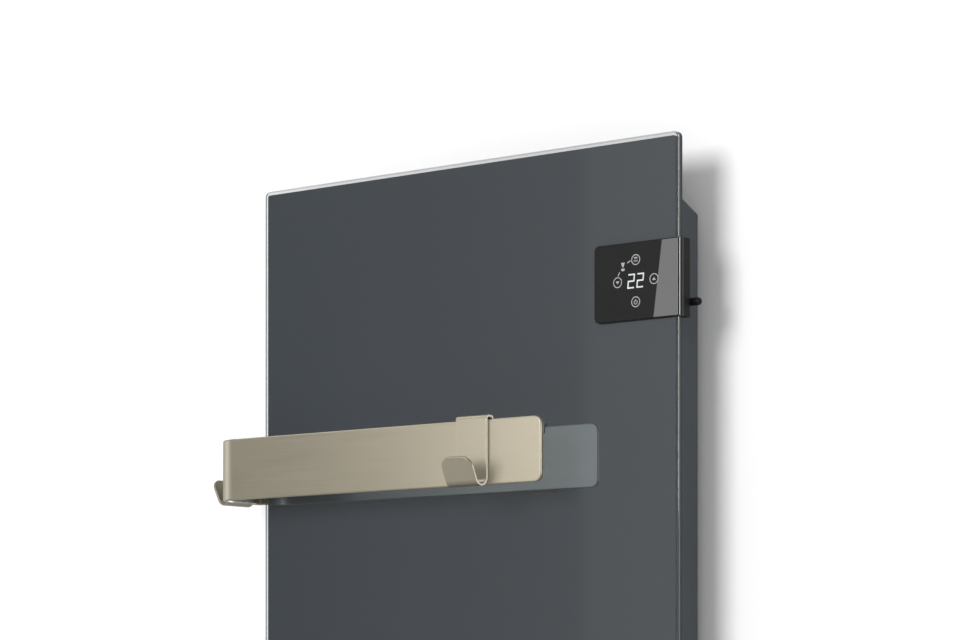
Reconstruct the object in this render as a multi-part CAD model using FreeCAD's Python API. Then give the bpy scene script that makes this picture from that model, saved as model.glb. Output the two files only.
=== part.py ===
import FreeCAD
import Part
import math
import os

# Wall-hung glass towel warmer: glass bonded to a steel tray, a bent towel bar, a touch control and hooks.
# Millimetres. +Z is up, the glass faces -Y and the wall is the plane Y = 0.
# The origin lies on the wall, in the middle of the four wall screws.

Vector = FreeCAD.Vector
X_AXIS = Vector(1, 0, 0)
Y_AXIS = Vector(0, 1, 0)
Z_AXIS = Vector(0, 0, 1)

# Clearance between pieces that are fixed together
FIT_GAP = 0.1

# Glass front
GLASS_WIDTH = 500.0
GLASS_HEIGHT = 1000.0
GLASS_THICKNESS = 6.0
GLASS_CORNER_RADIUS = 6.0
GLASS_ARRIS = 0.8

# Rear housing, a folded tray whose end walls slope in towards the wall
WALL_GAP = 14.0
HOUSING_DEPTH = 38.4
HOUSING_SIDE_INSET = 10.0
HOUSING_END_INSET = 51.0
HOUSING_SLOPE_DROP = 17.0
HOUSING_SHEET = 1.2
HOUSING_FOLD_RADIUS = 2.0
FLANGE_WIDTH = 12.0

# Adhesive bead between the tray's front flange and the glass
BOND_THICKNESS = 1.6
BOND_MARGIN = 2.0

# Heating layers on the back of the glass, cut away where the electronics sit
MAT_THICKNESS = 0.8
MAT_EDGE_GAP = 4.0
INSULATION_THICKNESS = 22.0
INSULATION_EDGE_GAP = 6.0
BAY_WIDTH = 112.0
BAY_HEIGHT = 140.0
CONNECTION_SPACE = 46.0

# Towel bar, one flat strip bent twice
BAR_HEIGHT = 60.5
BAR_THICKNESS = 4.0
BAR_TOWEL_GAP = 42.0
BAR_SIDE_GAP = 28.0
BAR_BEND_RADIUS = 31.0
BAR_RETURN_BEND_RADIUS = 6.0
BAR_FRONT_LENGTH = 412.5
BAR_RETURN_LENGTH = 103.0
BAR_RETURN_SETBACK = 15.9
BAR_CORNER_RADIUS = 8.0
BAR_EDGE_RADIUS = 1.5
BAR_DROP = 280.5

# Trim that lines the bar's slot in the housing
TRIM_WALL = 0.8
TRIM_LIP = 2.5
TRIM_LIP_THICKNESS = 1.0
TRIM_TAIL = 1.5

# Bracket inside the housing that carries the bar
BRACKET_SHEET = 2.5
BRACKET_WIDTH = 50.0
BRACKET_HEIGHT = 50.0
BRACKET_FOOT = 16.0
BRACKET_BEND_RADIUS = 3.0
BRACKET_END_MARGIN = 3.0
BRACKET_SPACE = 10.0
BAR_SCREW_PITCH = 28.0
BAR_SCREW_RADIUS = 2.5
BAR_SCREW_HEAD_RADIUS = 4.5
BAR_SCREW_HEAD_HEIGHT = 3.0
ACCESS_HOLE_RADIUS = 6.0
PLUG_HEAD_OVERLAP = 2.0
PLUG_HEAD_HEIGHT = 1.5
PLUG_STEM_LENGTH = 3.0

# Rivets, and the rounding of screw and plug heads
HEAD_ROUNDING = 0.9
RIVET_RADIUS = 2.0
RIVET_HEAD_RADIUS = 3.6
RIVET_HEAD_HEIGHT = 1.3

# Wall rails and the hangers that drop behind their lips
RAIL_SHEET = 2.0
RAIL_SIDE_MARGIN = 60.0
RAIL_COVER_GAP = 27.0
RAIL_LIP_REACH = 9.0
RAIL_FLANGE_BELOW = 20.0
RAIL_FLANGE_ABOVE = 12.0
RAIL_LIP_HEIGHT = 18.0
RAIL_BEND_RADIUS = 2.0
RAIL_EDGE_RADIUS = 4.0
WALL_SCREW_END_MARGIN = 80.0
WALL_SCREW_HOLE_RADIUS = 3.5
HANGER_SHEET = 2.0
HANGER_WIDTH = 60.0
HANGER_END_MARGIN = 40.0
HANGER_WALL_CLEARANCE = 3.0
HANGER_LIP_HEIGHT = 12.0
HANGER_PLATE_BELOW = 14.0
HANGER_RIVET_PITCH = 36.0
HANGER_RIVET_MARGIN = 8.0

# Rubber buffers that keep the lower edge off the wall
BUFFER_RADIUS = 10.0
BUFFER_STEM_RADIUS = 3.0
BUFFER_STEM_LENGTH = 5.0
BUFFER_SIDE_MARGIN = 40.0
BUFFER_END_MARGIN = 32.0

# Control unit, which grips the right edge of the glass
CONTROL_WIDTH = 94.6
CONTROL_HEIGHT = 70.4
CONTROL_OVERHANG = 3.8
CONTROL_DROP = 131.0
CONTROL_FRONT_DEPTH = 4.0
CONTROL_REAR_DEPTH = 6.3
CONTROL_CORNER_RADIUS = 5.0
CONTROL_EDGE_RADIUS = 0.8
CONTROL_BEZEL = 0.9
CONTROL_SEAM_DEPTH = 1.0
CONTROL_SEAM_GAP = 0.2
CONTROL_EDGE_GAP = 0.3
FASCIA_THICKNESS = 1.4
TOUCH_BOARD_THICKNESS = 0.9
TOUCH_BOARD_INSET = 2.5
DISPLAY_WIDTH = 26.0
DISPLAY_HEIGHT = 18.0
TAB_THICKNESS = 2.0
TAB_HEIGHT = 10.0
TAB_PITCH = 40.0
TAB_REACH = 3.0

# Room sensor on the side wall of the tray, just behind the control unit
SENSOR_RADIUS = 3.6
SENSOR_LENGTH = 22.0
SENSOR_STEM_RADIUS = 2.5
SENSOR_STEM_TAIL = 1.0
SENSOR_DROP = 151.6
SENSOR_SETBACK = 5.5

# Power board on its service cover
BOARD_WIDTH = 92.0
BOARD_HEIGHT = 104.0
BOARD_THICKNESS = 1.6
BOARD_TOP_GAP = 26.0
STANDOFF_LENGTH = 10.0
STANDOFF_RADIUS = 3.0
STANDOFF_INSET = 5.0
COVER_SHEET = 1.2
COVER_LAP = 8.0
SERVICE_MARGIN = 6.0
COVER_SCREWS_HIGH = 3
SMALL_SCREW_RADIUS = 1.5
SMALL_SCREW_HEAD_RADIUS = 2.8
SMALL_SCREW_HEAD_HEIGHT = 1.8
SMALL_SCREW_LENGTH = 5.0
RELAY_WIDTH = 19.0
RELAY_DEPTH = 15.5
RELAY_HEIGHT = 15.5
TRANSFORMER_WIDTH = 34.0
TRANSFORMER_DEPTH = 20.0
TRANSFORMER_HEIGHT = 28.0
TRANSFORMER_LIP = 2.0
COMPONENT_EDGE_RADIUS = 0.8
TERMINAL_PITCH = 12.0
TERMINAL_COUNT = 3
TERMINAL_DEPTH = 14.0
TERMINAL_HEIGHT = 14.0
TERMINAL_SCREW_RADIUS = 3.0
TERMINAL_SCREW_SINK = 4.0
COMPONENT_MARGIN = 12.0
CONNECTOR_WIDTH = 10.0
CONNECTOR_DEPTH = 7.0
CONNECTOR_HEIGHT = 9.0
CONNECTOR_MARGIN = 1.0

# Connections of the heating mat
LEAD_RADIUS = 1.3
LEAD_BEND_RADIUS = 5.0
LEAD_DEPTH = 8.0
MAT_BLOCK_WIDTH = 12.0
MAT_BLOCK_DEPTH = 7.0
MAT_BLOCK_HEIGHT = 10.0
CONNECTION_DROP = 26.0
CONNECTION_MARGIN = 4.0
LINK_LENGTH = 6.0
LIMITER_RADIUS = 8.0
LIMITER_DEPTH = 9.0
LIMITER_FLANGE_RADIUS = 11.0
LIMITER_FLANGE_THICKNESS = 1.0
CONTROL_LEAD_RADIUS = 1.5
CONTROL_LEAD_SETBACK = 1.8
CONTROL_LEAD_TAIL = 4.0

# Earth point on the tray
EARTH_STUD_RADIUS = 2.0
EARTH_STUD_LENGTH = 12.0
EARTH_NUT_RADIUS = 4.0
EARTH_NUT_HEIGHT = 3.2

# Cable gland in the lower end wall
GLAND_SIDE_MARGIN = 70.0
GLAND_BACK_MARGIN = 12.0
GLAND_STEM_RADIUS = 6.0
GLAND_STEM_INSIDE = 6.0
GLAND_COLLAR_RADIUS = 9.0
GLAND_COLLAR_LENGTH = 4.0
GLAND_CAP_LENGTH = 9.0
GLAND_MOUTH_RADIUS = 5.5
GLAND_BORE_RADIUS = 3.5
GLAND_NUT_RADIUS = 9.0
GLAND_NUT_HEIGHT = 4.0
HEXAGON_SIDES = 6

# Hooks, folded sheet with a rubber liner that rests on the bar
HOOK_SHEET = 2.4
HOOK_WIDTH = 36.0
HOOK_FOLD_RADIUS = 2.3
HOOK_TROUGH_RADIUS = 8.2
HOOK_TROUGH_BELOW_BAR = 1.8
HOOK_FLANGE_HEIGHT = 25.3
HOOK_FLANGE_LEAN = 25.0
HOOK_FLANGE_CORNER = 10.5
HOOK_BACK_LENGTH = 10.0
HOOK_EDGE_RADIUS = 0.6
FRONT_HOOK_FROM_END = 78.3
LINER_THICKNESS = 1.0
LINER_TOP = 1.6
LINER_INSET = 3.0
LINER_LENGTH = 8.0

# Planes and edges that follow from the sizes above
Y_HOUSING_BACK = -WALL_GAP
Y_HOUSING_INNER = Y_HOUSING_BACK - HOUSING_SHEET
Y_HOUSING_FRONT = Y_HOUSING_BACK - HOUSING_DEPTH
Y_FLANGE_INNER = Y_HOUSING_FRONT + HOUSING_SHEET
Y_GLASS_BACK = Y_HOUSING_FRONT - BOND_THICKNESS
Y_GLASS_FRONT = Y_GLASS_BACK - GLASS_THICKNESS
Y_MAT_BACK = Y_GLASS_BACK + MAT_THICKNESS
X_GLASS = GLASS_WIDTH / 2
Z_GLASS = GLASS_HEIGHT / 2
X_HOUSING = X_GLASS - HOUSING_SIDE_INSET
X_HOUSING_INNER = X_HOUSING - HOUSING_SHEET
Z_HOUSING_FRONT = Z_GLASS - HOUSING_END_INSET
Z_HOUSING_BACK = Z_HOUSING_FRONT - HOUSING_SLOPE_DROP
SLOPE_LENGTH = math.hypot(HOUSING_DEPTH, HOUSING_SLOPE_DROP)
X_MAT = X_HOUSING - FLANGE_WIDTH - MAT_EDGE_GAP
Z_MAT = Z_HOUSING_FRONT - FLANGE_WIDTH - MAT_EDGE_GAP

# Towel bar
X_BAR_SIDE = -(X_GLASS + BAR_SIDE_GAP + BAR_THICKNESS)
X_BAR_END = X_BAR_SIDE + BAR_FRONT_LENGTH
X_BAR_RETURN_END = X_BAR_SIDE + BAR_RETURN_LENGTH
Y_BAR_FRONT = Y_GLASS_FRONT - BAR_TOWEL_GAP - BAR_THICKNESS
Y_RETURN_FRONT = Y_HOUSING_FRONT + BAR_RETURN_SETBACK
Y_RETURN_BACK = Y_RETURN_FRONT + BAR_THICKNESS
Z_BAR = Z_GLASS - BAR_DROP
Z_BAR_TOP = Z_BAR + BAR_HEIGHT / 2
X_BRACKET = X_BAR_RETURN_END - BRACKET_END_MARGIN - BRACKET_WIDTH / 2

# Control unit
X_CONTROL = X_GLASS + CONTROL_OVERHANG
X_CONTROL_LEFT = X_CONTROL - CONTROL_WIDTH
X_CONTROL_BRIDGE = X_GLASS + CONTROL_EDGE_GAP
X_CONTROL_CENTRE = X_CONTROL - CONTROL_WIDTH / 2
Y_CONTROL_FRONT = Y_GLASS_FRONT - CONTROL_FRONT_DEPTH
Y_CONTROL_BACK = Y_GLASS_BACK + CONTROL_REAR_DEPTH
Y_SEAM = Y_GLASS_FRONT + CONTROL_SEAM_DEPTH
Y_FASCIA_BACK = Y_CONTROL_FRONT + FASCIA_THICKNESS
Y_TOUCH_BACK = Y_FASCIA_BACK + TOUCH_BOARD_THICKNESS
Z_CONTROL = Z_GLASS - CONTROL_DROP
Y_TAB = Y_CONTROL_BACK - TAB_THICKNESS
Y_CONTROL_LEAD = Y_CONTROL_BACK - CONTROL_LEAD_SETBACK

# Power board and its service cover
X_BOARD = X_MAT - BAY_WIDTH / 2
Z_BOARD = Z_MAT - BOARD_TOP_GAP - BOARD_HEIGHT / 2
Z_BOARD_LOW = Z_BOARD - BOARD_HEIGHT / 2
Y_BOARD_BACK = Y_HOUSING_BACK - STANDOFF_LENGTH
Y_BOARD_FRONT = Y_BOARD_BACK - BOARD_THICKNESS
COVER_HALF_WIDTH = BOARD_WIDTH / 2 + SERVICE_MARGIN + COVER_LAP
COVER_HALF_HEIGHT = BOARD_HEIGHT / 2 + SERVICE_MARGIN + COVER_LAP

# Connections below the power board
Z_CONNECTION = Z_MAT - BAY_HEIGHT - CONNECTION_DROP
TERMINAL_WIDTH = TERMINAL_PITCH * TERMINAL_COUNT
Z_TERMINAL = Z_BOARD_LOW + STANDOFF_INSET + COMPONENT_MARGIN + TERMINAL_HEIGHT / 2
X_BAY = X_MAT - BAY_WIDTH
X_LINKED_BLOCK = X_BAY + CONNECTION_MARGIN + MAT_BLOCK_WIDTH / 2
X_LIMITER = X_LINKED_BLOCK + MAT_BLOCK_WIDTH / 2 + LINK_LENGTH + LIMITER_FLANGE_RADIUS
X_TERMINAL = X_LIMITER + TERMINAL_PITCH
X_EARTH = X_TERMINAL
X_MAT_BLOCK = X_TERMINAL + TERMINAL_PITCH
Y_LEAD = Y_BOARD_FRONT - LEAD_DEPTH

# Wall rails: the lips end where the hangers rest, and the upper hangers stay below the service cover
LIP_TOP = RAIL_FLANGE_ABOVE + RAIL_LIP_HEIGHT
Z_RAIL = Z_BOARD - COVER_HALF_HEIGHT - RAIL_COVER_GAP - HANGER_SHEET - LIP_TOP
X_RAIL = X_HOUSING - RAIL_SIDE_MARGIN
X_WALL_SCREW = X_RAIL - WALL_SCREW_END_MARGIN
X_HANGER = X_RAIL - HANGER_END_MARGIN
X_BUFFER = X_HOUSING - BUFFER_SIDE_MARGIN
X_GLAND = X_HOUSING - GLAND_SIDE_MARGIN


def box(x0, x1, y0, y1, z0, z1):
    """A block between two corners."""
    return Part.makeBox(x1 - x0, y1 - y0, z1 - z0, Vector(x0, y0, z0))


def centred_block(x, z, width, height, y0, y1):
    """A block centred in X and Z that spans two depths."""
    return box(x - width / 2, x + width / 2, y0, y1, z - height / 2, z + height / 2)


def rod(radius, start, end):
    """A round rod between two points."""
    return Part.makeCylinder(radius, (end - start).Length, start, end - start)


def grid(x, z, pitch_x, pitch_z):
    """The four corners of a rectangle, as X and Z pairs."""
    return [(x + i * pitch_x / 2, z + k * pitch_z / 2) for i in (-1, 1) for k in (-1, 1)]


def cut_all(shape, cutters):
    """Take every cutter out of a shape."""
    for cutter in cutters:
        shape = shape.cut(cutter)
    return shape


def fuse_all(shapes):
    """Join shapes that make up one piece."""
    return shapes[0].multiFuse(shapes[1:]).removeSplitter()


def straight_edges(shape, direction, wanted):
    """Straight edges along a direction whose middle passes a test."""
    found = []
    for edge in shape.Edges:
        if edge.Curve.TypeId != "Part::GeomLine":
            continue
        along = edge.tangentAt(edge.FirstParameter)
        if abs(along.dot(direction)) > 1 - FIT_GAP / 100 and wanted(edge.CenterOfMass):
            found.append(edge)
    return found


def face_edges(shape, direction):
    """Outline edges of the two flat end faces that look along a direction."""
    found = []
    for face in shape.Faces:
        if face.Surface.TypeId != "Part::GeomPlane":
            continue
        if abs(face.normalAt(0, 0).dot(direction)) > 1 - FIT_GAP / 100:
            found.extend(face.OuterWire.Edges)
    return found


def outline_edges(shape, shortest):
    """Edges longer than a length where two faces meet at a corner."""
    found = []
    for edge in shape.Edges:
        point = edge.valueAt((edge.FirstParameter + edge.LastParameter) / 2)
        a, b = [f.normalAt(*f.Surface.parameter(point)) for f in shape.ancestorsOfType(edge, Part.Face)][:2]
        if edge.Length > shortest and abs(a.dot(b)) < 0.5:
            found.append(edge)
    return found


def bent_run(points, normal, offset, radii):
    """Edges of a bent line that stays a set distance to the left of a chain of points.

    The radii are those of the chain itself, one for each inner point.
    """
    ahead = (points[1] - points[0]).normalize()
    begin = points[0] + normal.cross(ahead) * offset
    edges = []
    for corner, after, radius in zip(points[1:], points[2:], radii):
        onward = (after - corner).normalize()
        turn = math.atan2(ahead.cross(onward).dot(normal), ahead.dot(onward))
        setback = radius * math.tan(abs(turn) / 2)
        bend_start = corner - ahead * setback
        bend_end = corner + onward * setback
        centre = bend_start + normal.cross(ahead) * math.copysign(radius, turn)
        first = bend_start + normal.cross(ahead) * offset
        last = bend_end + normal.cross(onward) * offset
        halfway = (first - centre + last - centre).normalize()
        middle = centre + halfway * (first - centre).Length
        if (first - begin).Length > FIT_GAP / 100:
            edges.append(Part.LineSegment(begin, first).toShape())
        edges.append(Part.Arc(first, middle, last).toShape())
        begin = last
        ahead = onward
    finish = points[-1] + normal.cross(ahead) * offset
    edges.append(Part.LineSegment(begin, finish).toShape())
    return edges


def bent_strip(points, thickness, radii, sweep):
    """Sheet or strip folded along a chain of points in the middle of its thickness."""
    normal = Vector(sweep).normalize()
    left = bent_run(points, normal, thickness / 2, radii)
    right = bent_run(points, normal, -thickness / 2, radii)
    caps = []
    for a, b in ((left[0].Vertexes[0], right[0].Vertexes[0]), (left[-1].Vertexes[-1], right[-1].Vertexes[-1])):
        caps.append(Part.LineSegment(a.Point, b.Point).toShape())
    outline = Part.Wire(Part.__sortEdges__(left + right + caps))
    return Part.Face(outline).extrude(sweep)


def lead(points, radius):
    """Insulated lead along straight runs and one bend between each two."""
    normal = (points[1] - points[0]).cross(points[2] - points[1]).normalize()
    path = Part.Wire(bent_run(points, normal, 0, [LEAD_BEND_RADIUS] * (len(points) - 2)))
    section = Part.Wire(Part.makeCircle(radius, points[0], points[1] - points[0]))
    return path.makePipeShell([section], True, False)


def headed_pin(seat, direction, shank_radius, shank_length, head_radius, head_height):
    """A screw or plug: its shank runs along a direction from the seat, its head stands the other way."""
    shank = rod(shank_radius, seat, seat + direction * shank_length)
    top = seat - direction * head_height
    head = rod(head_radius, seat, top)
    rim = [e for e in head.Edges if e.Closed and (e.CenterOfMass - top).Length < FIT_GAP]
    return shank.fuse(head.makeFillet(HEAD_ROUNDING, rim))


def rivet(x, z, y0, y1):
    """A rivet through sheets that span two depths, with a head on each side."""
    shank = rod(RIVET_RADIUS, Vector(x, y0, z), Vector(x, y1, z))
    heads = []
    for y, way in ((y0, -1), (y1, 1)):
        foot = Vector(x, y, z)
        heads.append(Part.makeCone(RIVET_HEAD_RADIUS, RIVET_RADIUS, RIVET_HEAD_HEIGHT, foot, Y_AXIS * way))
    return fuse_all([shank] + heads)


def hexagon_nut(centre, direction, radius, height, bore):
    """A hexagon nut that starts at a point and rises along a direction."""
    side = direction.cross(X_AXIS).normalize() * radius
    corners = []
    for k in range(HEXAGON_SIDES + 1):
        turn = FreeCAD.Rotation(direction, 360.0 * k / HEXAGON_SIDES)
        corners.append(centre + turn.multVec(side))
    body = Part.Face(Part.makePolygon(corners)).extrude(direction * height)
    return body.cut(rod(bore, centre - direction * height, centre + direction * 2 * height))


# Glass and the layers behind it


def glass_panel():
    """Toughened glass with rounded corners and ground edges."""
    plate = box(-X_GLASS, X_GLASS, Y_GLASS_FRONT, Y_GLASS_BACK, -Z_GLASS, Z_GLASS)
    plate = plate.makeFillet(GLASS_CORNER_RADIUS, straight_edges(plate, Y_AXIS, lambda c: True))
    return plate.makeChamfer(GLASS_ARRIS, face_edges(plate, Y_AXIS))


def bond_bead():
    """Adhesive frame between the tray's flange and the glass."""
    x1 = X_HOUSING - BOND_MARGIN
    z1 = Z_HOUSING_FRONT - BOND_MARGIN
    x0 = X_HOUSING - FLANGE_WIDTH + BOND_MARGIN
    z0 = Z_HOUSING_FRONT - FLANGE_WIDTH + BOND_MARGIN
    outer = box(-x1, x1, Y_GLASS_BACK, Y_HOUSING_FRONT, -z1, z1)
    return outer.cut(box(-x0, x0, Y_GLASS_BACK, Y_HOUSING_FRONT, -z0, z0))


def heating_mat():
    """Heating mat stuck to the glass, with a corner left out for the electronics."""
    mat = box(-X_MAT, X_MAT, Y_GLASS_BACK, Y_MAT_BACK, -Z_MAT, Z_MAT)
    return mat.cut(box(X_BAY, X_MAT, Y_GLASS_BACK, Y_MAT_BACK, Z_MAT - BAY_HEIGHT, Z_MAT))


def insulation_board():
    """Insulation behind the mat, cut out round the bar's bracket and the electronics."""
    x1 = X_MAT - INSULATION_EDGE_GAP
    z1 = Z_MAT - INSULATION_EDGE_GAP
    y1 = Y_MAT_BACK + INSULATION_THICKNESS
    board = box(-x1, x1, Y_MAT_BACK, y1, -z1, z1)
    bay = box(X_BAY, X_MAT, Y_MAT_BACK, y1, Z_MAT - BAY_HEIGHT - CONNECTION_SPACE, Z_MAT)
    half = max(BAR_HEIGHT / 2, BRACKET_HEIGHT / 2 + BRACKET_FOOT) + BRACKET_SPACE
    bracket = box(-X_MAT, X_BAR_RETURN_END + BRACKET_SPACE, Y_MAT_BACK, y1, Z_BAR - half, Z_BAR + half)
    return cut_all(board, [bay, bracket])


# Rear housing


def tray_block(inset):
    """The tray's outer block, or the block of its hollow when inset by the sheet thickness."""
    y0 = Y_HOUSING_FRONT + inset
    y1 = Y_HOUSING_BACK - inset
    step = inset * SLOPE_LENGTH / HOUSING_DEPTH
    slope = HOUSING_SLOPE_DROP / HOUSING_DEPTH
    z0 = Z_HOUSING_FRONT - inset * slope - step
    z1 = Z_HOUSING_BACK + inset * slope - step
    x1 = X_HOUSING - inset
    corners = [(y0, -z0), (y1, -z1), (y1, z1), (y0, z0), (y0, -z0)]
    section = Part.makePolygon([Vector(-x1, y, z) for y, z in corners])
    return Part.Face(section).extrude(Vector(2 * x1, 0, 0))


def bar_section(x0, x1, extra):
    """The bar's return leg as a block between two X planes, grown all round."""
    half = BAR_HEIGHT / 2 + extra
    return box(x0, x1, Y_RETURN_FRONT - extra, Y_RETURN_BACK + extra, Z_BAR - half, Z_BAR + half)


def back_hole(x, z, radius):
    """Cutter for a round hole through the tray's back."""
    return rod(radius, Vector(x, Y_HOUSING_INNER - FIT_GAP, z), Vector(x, Y_HOUSING_BACK + FIT_GAP, z))


def gland_axis():
    """Foot of the gland on the lower end wall's outer face, and the wall's outward direction."""
    y = Y_HOUSING_BACK - GLAND_BACK_MARGIN
    z = -(Z_HOUSING_BACK + HOUSING_SLOPE_DROP * GLAND_BACK_MARGIN / HOUSING_DEPTH)
    outward = Vector(0, HOUSING_SLOPE_DROP / SLOPE_LENGTH, -HOUSING_DEPTH / SLOPE_LENGTH)
    return Vector(X_GLAND, y, z), outward


def side_wall_cutters():
    """Slots and hole in the right wall for the control unit's tabs and lead."""
    cutters = []
    for k in (-1, 1):
        z = Z_CONTROL + k * TAB_PITCH / 2
        half = TAB_HEIGHT / 2 + FIT_GAP
        y0 = Y_TAB - FIT_GAP
        cutters.append(box(X_HOUSING_INNER, X_HOUSING, y0, Y_CONTROL_BACK + FIT_GAP, z - half, z + half))
    start = Vector(X_HOUSING_INNER, Y_CONTROL_LEAD, Z_CONTROL)
    cutters.append(rod(CONTROL_LEAD_RADIUS + FIT_GAP, start, start + X_AXIS * HOUSING_SHEET))
    return cutters


def rear_housing():
    """Folded tray with an inward front flange."""
    outer = tray_block(0)
    folds = [e for e in outer.Edges if e.CenterOfMass.y > Y_HOUSING_FRONT + FIT_GAP]
    tray = outer.makeFillet(HOUSING_FOLD_RADIUS, folds).cut(tray_block(HOUSING_SHEET))
    x1 = X_HOUSING - FLANGE_WIDTH
    z1 = Z_HOUSING_FRONT - FLANGE_WIDTH
    cutters = [box(-x1, x1, Y_HOUSING_FRONT, Y_FLANGE_INNER, -z1, z1)]
    cutters.append(bar_section(-X_HOUSING, -X_HOUSING_INNER, TRIM_WALL + 2 * FIT_GAP))
    cutters.extend(side_wall_cutters())
    width = BOARD_WIDTH + 2 * SERVICE_MARGIN
    height = BOARD_HEIGHT + 2 * SERVICE_MARGIN
    cutters.append(centred_block(X_BOARD, Z_BOARD, width, height, Y_HOUSING_INNER, Y_HOUSING_BACK))
    for x, z in cover_screw_places():
        cutters.append(back_hole(x, z, SMALL_SCREW_RADIUS + FIT_GAP))
    for x, z in bar_screw_places():
        cutters.append(back_hole(x, z, ACCESS_HOLE_RADIUS))
    for x, z in bracket_rivet_places() + hanger_rivet_places():
        cutters.append(back_hole(x, z, RIVET_RADIUS + FIT_GAP))
    for x, z in buffer_places():
        cutters.append(back_hole(x, z, BUFFER_STEM_RADIUS + FIT_GAP))
    foot, outward = gland_axis()
    reach = outward * 2 * HOUSING_SHEET
    cutters.append(rod(GLAND_STEM_RADIUS + FIT_GAP, foot - reach, foot + reach))
    cutters.append(sensor_stem(FIT_GAP))
    return cut_all(tray, cutters)


def cover_screw_places():
    """Screw places along the two long edges of the service cover."""
    x = COVER_HALF_WIDTH - COVER_LAP / 2
    z = COVER_HALF_HEIGHT - COVER_LAP / 2
    places = []
    for i in (-1, 1):
        for k in range(COVER_SCREWS_HIGH):
            places.append((X_BOARD + i * x, Z_BOARD - z + 2 * z * k / (COVER_SCREWS_HIGH - 1)))
    return places


def service_cover():
    """Plate screwed over the opening behind the power board."""
    width = 2 * COVER_HALF_WIDTH
    height = 2 * COVER_HALF_HEIGHT
    plate = centred_block(X_BOARD, Z_BOARD, width, height, Y_HOUSING_BACK, Y_HOUSING_BACK + COVER_SHEET)
    corners = straight_edges(plate, Y_AXIS, lambda c: True)
    plate = plate.makeFillet(COVER_LAP / 2, corners)
    holes = []
    for x, z in cover_screw_places():
        foot = Vector(x, Y_HOUSING_BACK, z)
        holes.append(rod(SMALL_SCREW_RADIUS + FIT_GAP, foot, foot + Y_AXIS * COVER_SHEET))
    return cut_all(plate, holes)


def cover_screws():
    """Screws of the service cover, heads on the wall side."""
    screws = []
    for x, z in cover_screw_places():
        seat = Vector(x, Y_HOUSING_BACK + COVER_SHEET, z)
        screws.append(headed_pin(seat, -Y_AXIS, SMALL_SCREW_RADIUS, SMALL_SCREW_LENGTH,
                                 SMALL_SCREW_HEAD_RADIUS, SMALL_SCREW_HEAD_HEIGHT))
    return Part.makeCompound(screws)


def buffer_places():
    """Places of the rubber buffers near the lower edge of the tray."""
    z = -(Z_HOUSING_BACK - BUFFER_END_MARGIN)
    return [(i * X_BUFFER, z) for i in (-1, 1)]


def wall_buffers():
    """Rubber buffers pushed into the tray's back, as deep as the gap to the wall."""
    buffers = []
    for x, z in buffer_places():
        seat = Vector(x, Y_HOUSING_BACK, z)
        buffers.append(headed_pin(seat, -Y_AXIS, BUFFER_STEM_RADIUS, BUFFER_STEM_LENGTH,
                                  BUFFER_RADIUS, WALL_GAP))
    return Part.makeCompound(buffers)


# Wall rails and hangers


def wall_rail(height):
    """Rail on the wall whose lip stands off the wall and points up."""
    middle = RAIL_SHEET / 2
    lip = -RAIL_LIP_REACH + middle
    web = height + RAIL_FLANGE_ABOVE
    chain = [(-middle, height - RAIL_FLANGE_BELOW), (-middle, web), (lip, web), (lip, height + LIP_TOP)]
    points = [Vector(-X_RAIL, y, z) for y, z in chain]
    rail = bent_strip(points, RAIL_SHEET, [RAIL_BEND_RADIUS] * 2, X_AXIS * 2 * X_RAIL)
    low = straight_edges(rail, Y_AXIS, lambda c: c.z < height - RAIL_FLANGE_BELOW + FIT_GAP)
    rail = rail.makeFillet(RAIL_EDGE_RADIUS, low)
    holes = []
    for i in (-1, 1):
        foot = Vector(i * X_WALL_SCREW, -RAIL_SHEET, height)
        holes.append(rod(WALL_SCREW_HOLE_RADIUS, foot, foot + Y_AXIS * RAIL_SHEET))
    return cut_all(rail, holes)


def wall_rail_upper():
    """Rail behind the upper half of the housing."""
    return wall_rail(Z_RAIL)


def wall_rail_lower():
    """Rail behind the lower half of the housing."""
    return wall_rail(-Z_RAIL)


def hanger(x, height):
    """Hanger on the tray whose lip drops behind the rail's lip."""
    middle = HANGER_SHEET / 2
    plate = Y_HOUSING_BACK + middle
    lip = -HANGER_WALL_CLEARANCE - middle
    web = height + LIP_TOP + middle
    low = height - HANGER_PLATE_BELOW
    chain = [(plate, low), (plate, web), (lip, web), (lip, web + middle - HANGER_LIP_HEIGHT)]
    points = [Vector(x - HANGER_WIDTH / 2, y, z) for y, z in chain]
    piece = bent_strip(points, HANGER_SHEET, [RAIL_BEND_RADIUS] * 2, X_AXIS * HANGER_WIDTH)
    holes = []
    for i in (-1, 1):
        foot = Vector(x + i * HANGER_RIVET_PITCH / 2, Y_HOUSING_BACK, low + HANGER_RIVET_MARGIN)
        holes.append(rod(RIVET_RADIUS + FIT_GAP, foot, foot + Y_AXIS * HANGER_SHEET))
    return cut_all(piece, holes)


def hangers(height):
    """The pair of hangers that belongs to one rail."""
    return Part.makeCompound([hanger(i * X_HANGER, height) for i in (-1, 1)])


def hangers_upper():
    """Hangers of the upper rail."""
    return hangers(Z_RAIL)


def hangers_lower():
    """Hangers of the lower rail."""
    return hangers(-Z_RAIL)


def hanger_rivet_places():
    """Rivet places of all hangers."""
    places = []
    for height in (Z_RAIL, -Z_RAIL):
        z = height - HANGER_PLATE_BELOW + HANGER_RIVET_MARGIN
        for i in (-1, 1):
            for k in (-1, 1):
                places.append((i * X_HANGER + k * HANGER_RIVET_PITCH / 2, z))
    return places


def hanger_rivets():
    """Rivets through the hangers and the tray."""
    return Part.makeCompound([rivet(x, z, Y_HOUSING_INNER, Y_HOUSING_BACK + HANGER_SHEET)
                              for x, z in hanger_rivet_places()])


# Towel bar and what holds it


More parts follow.
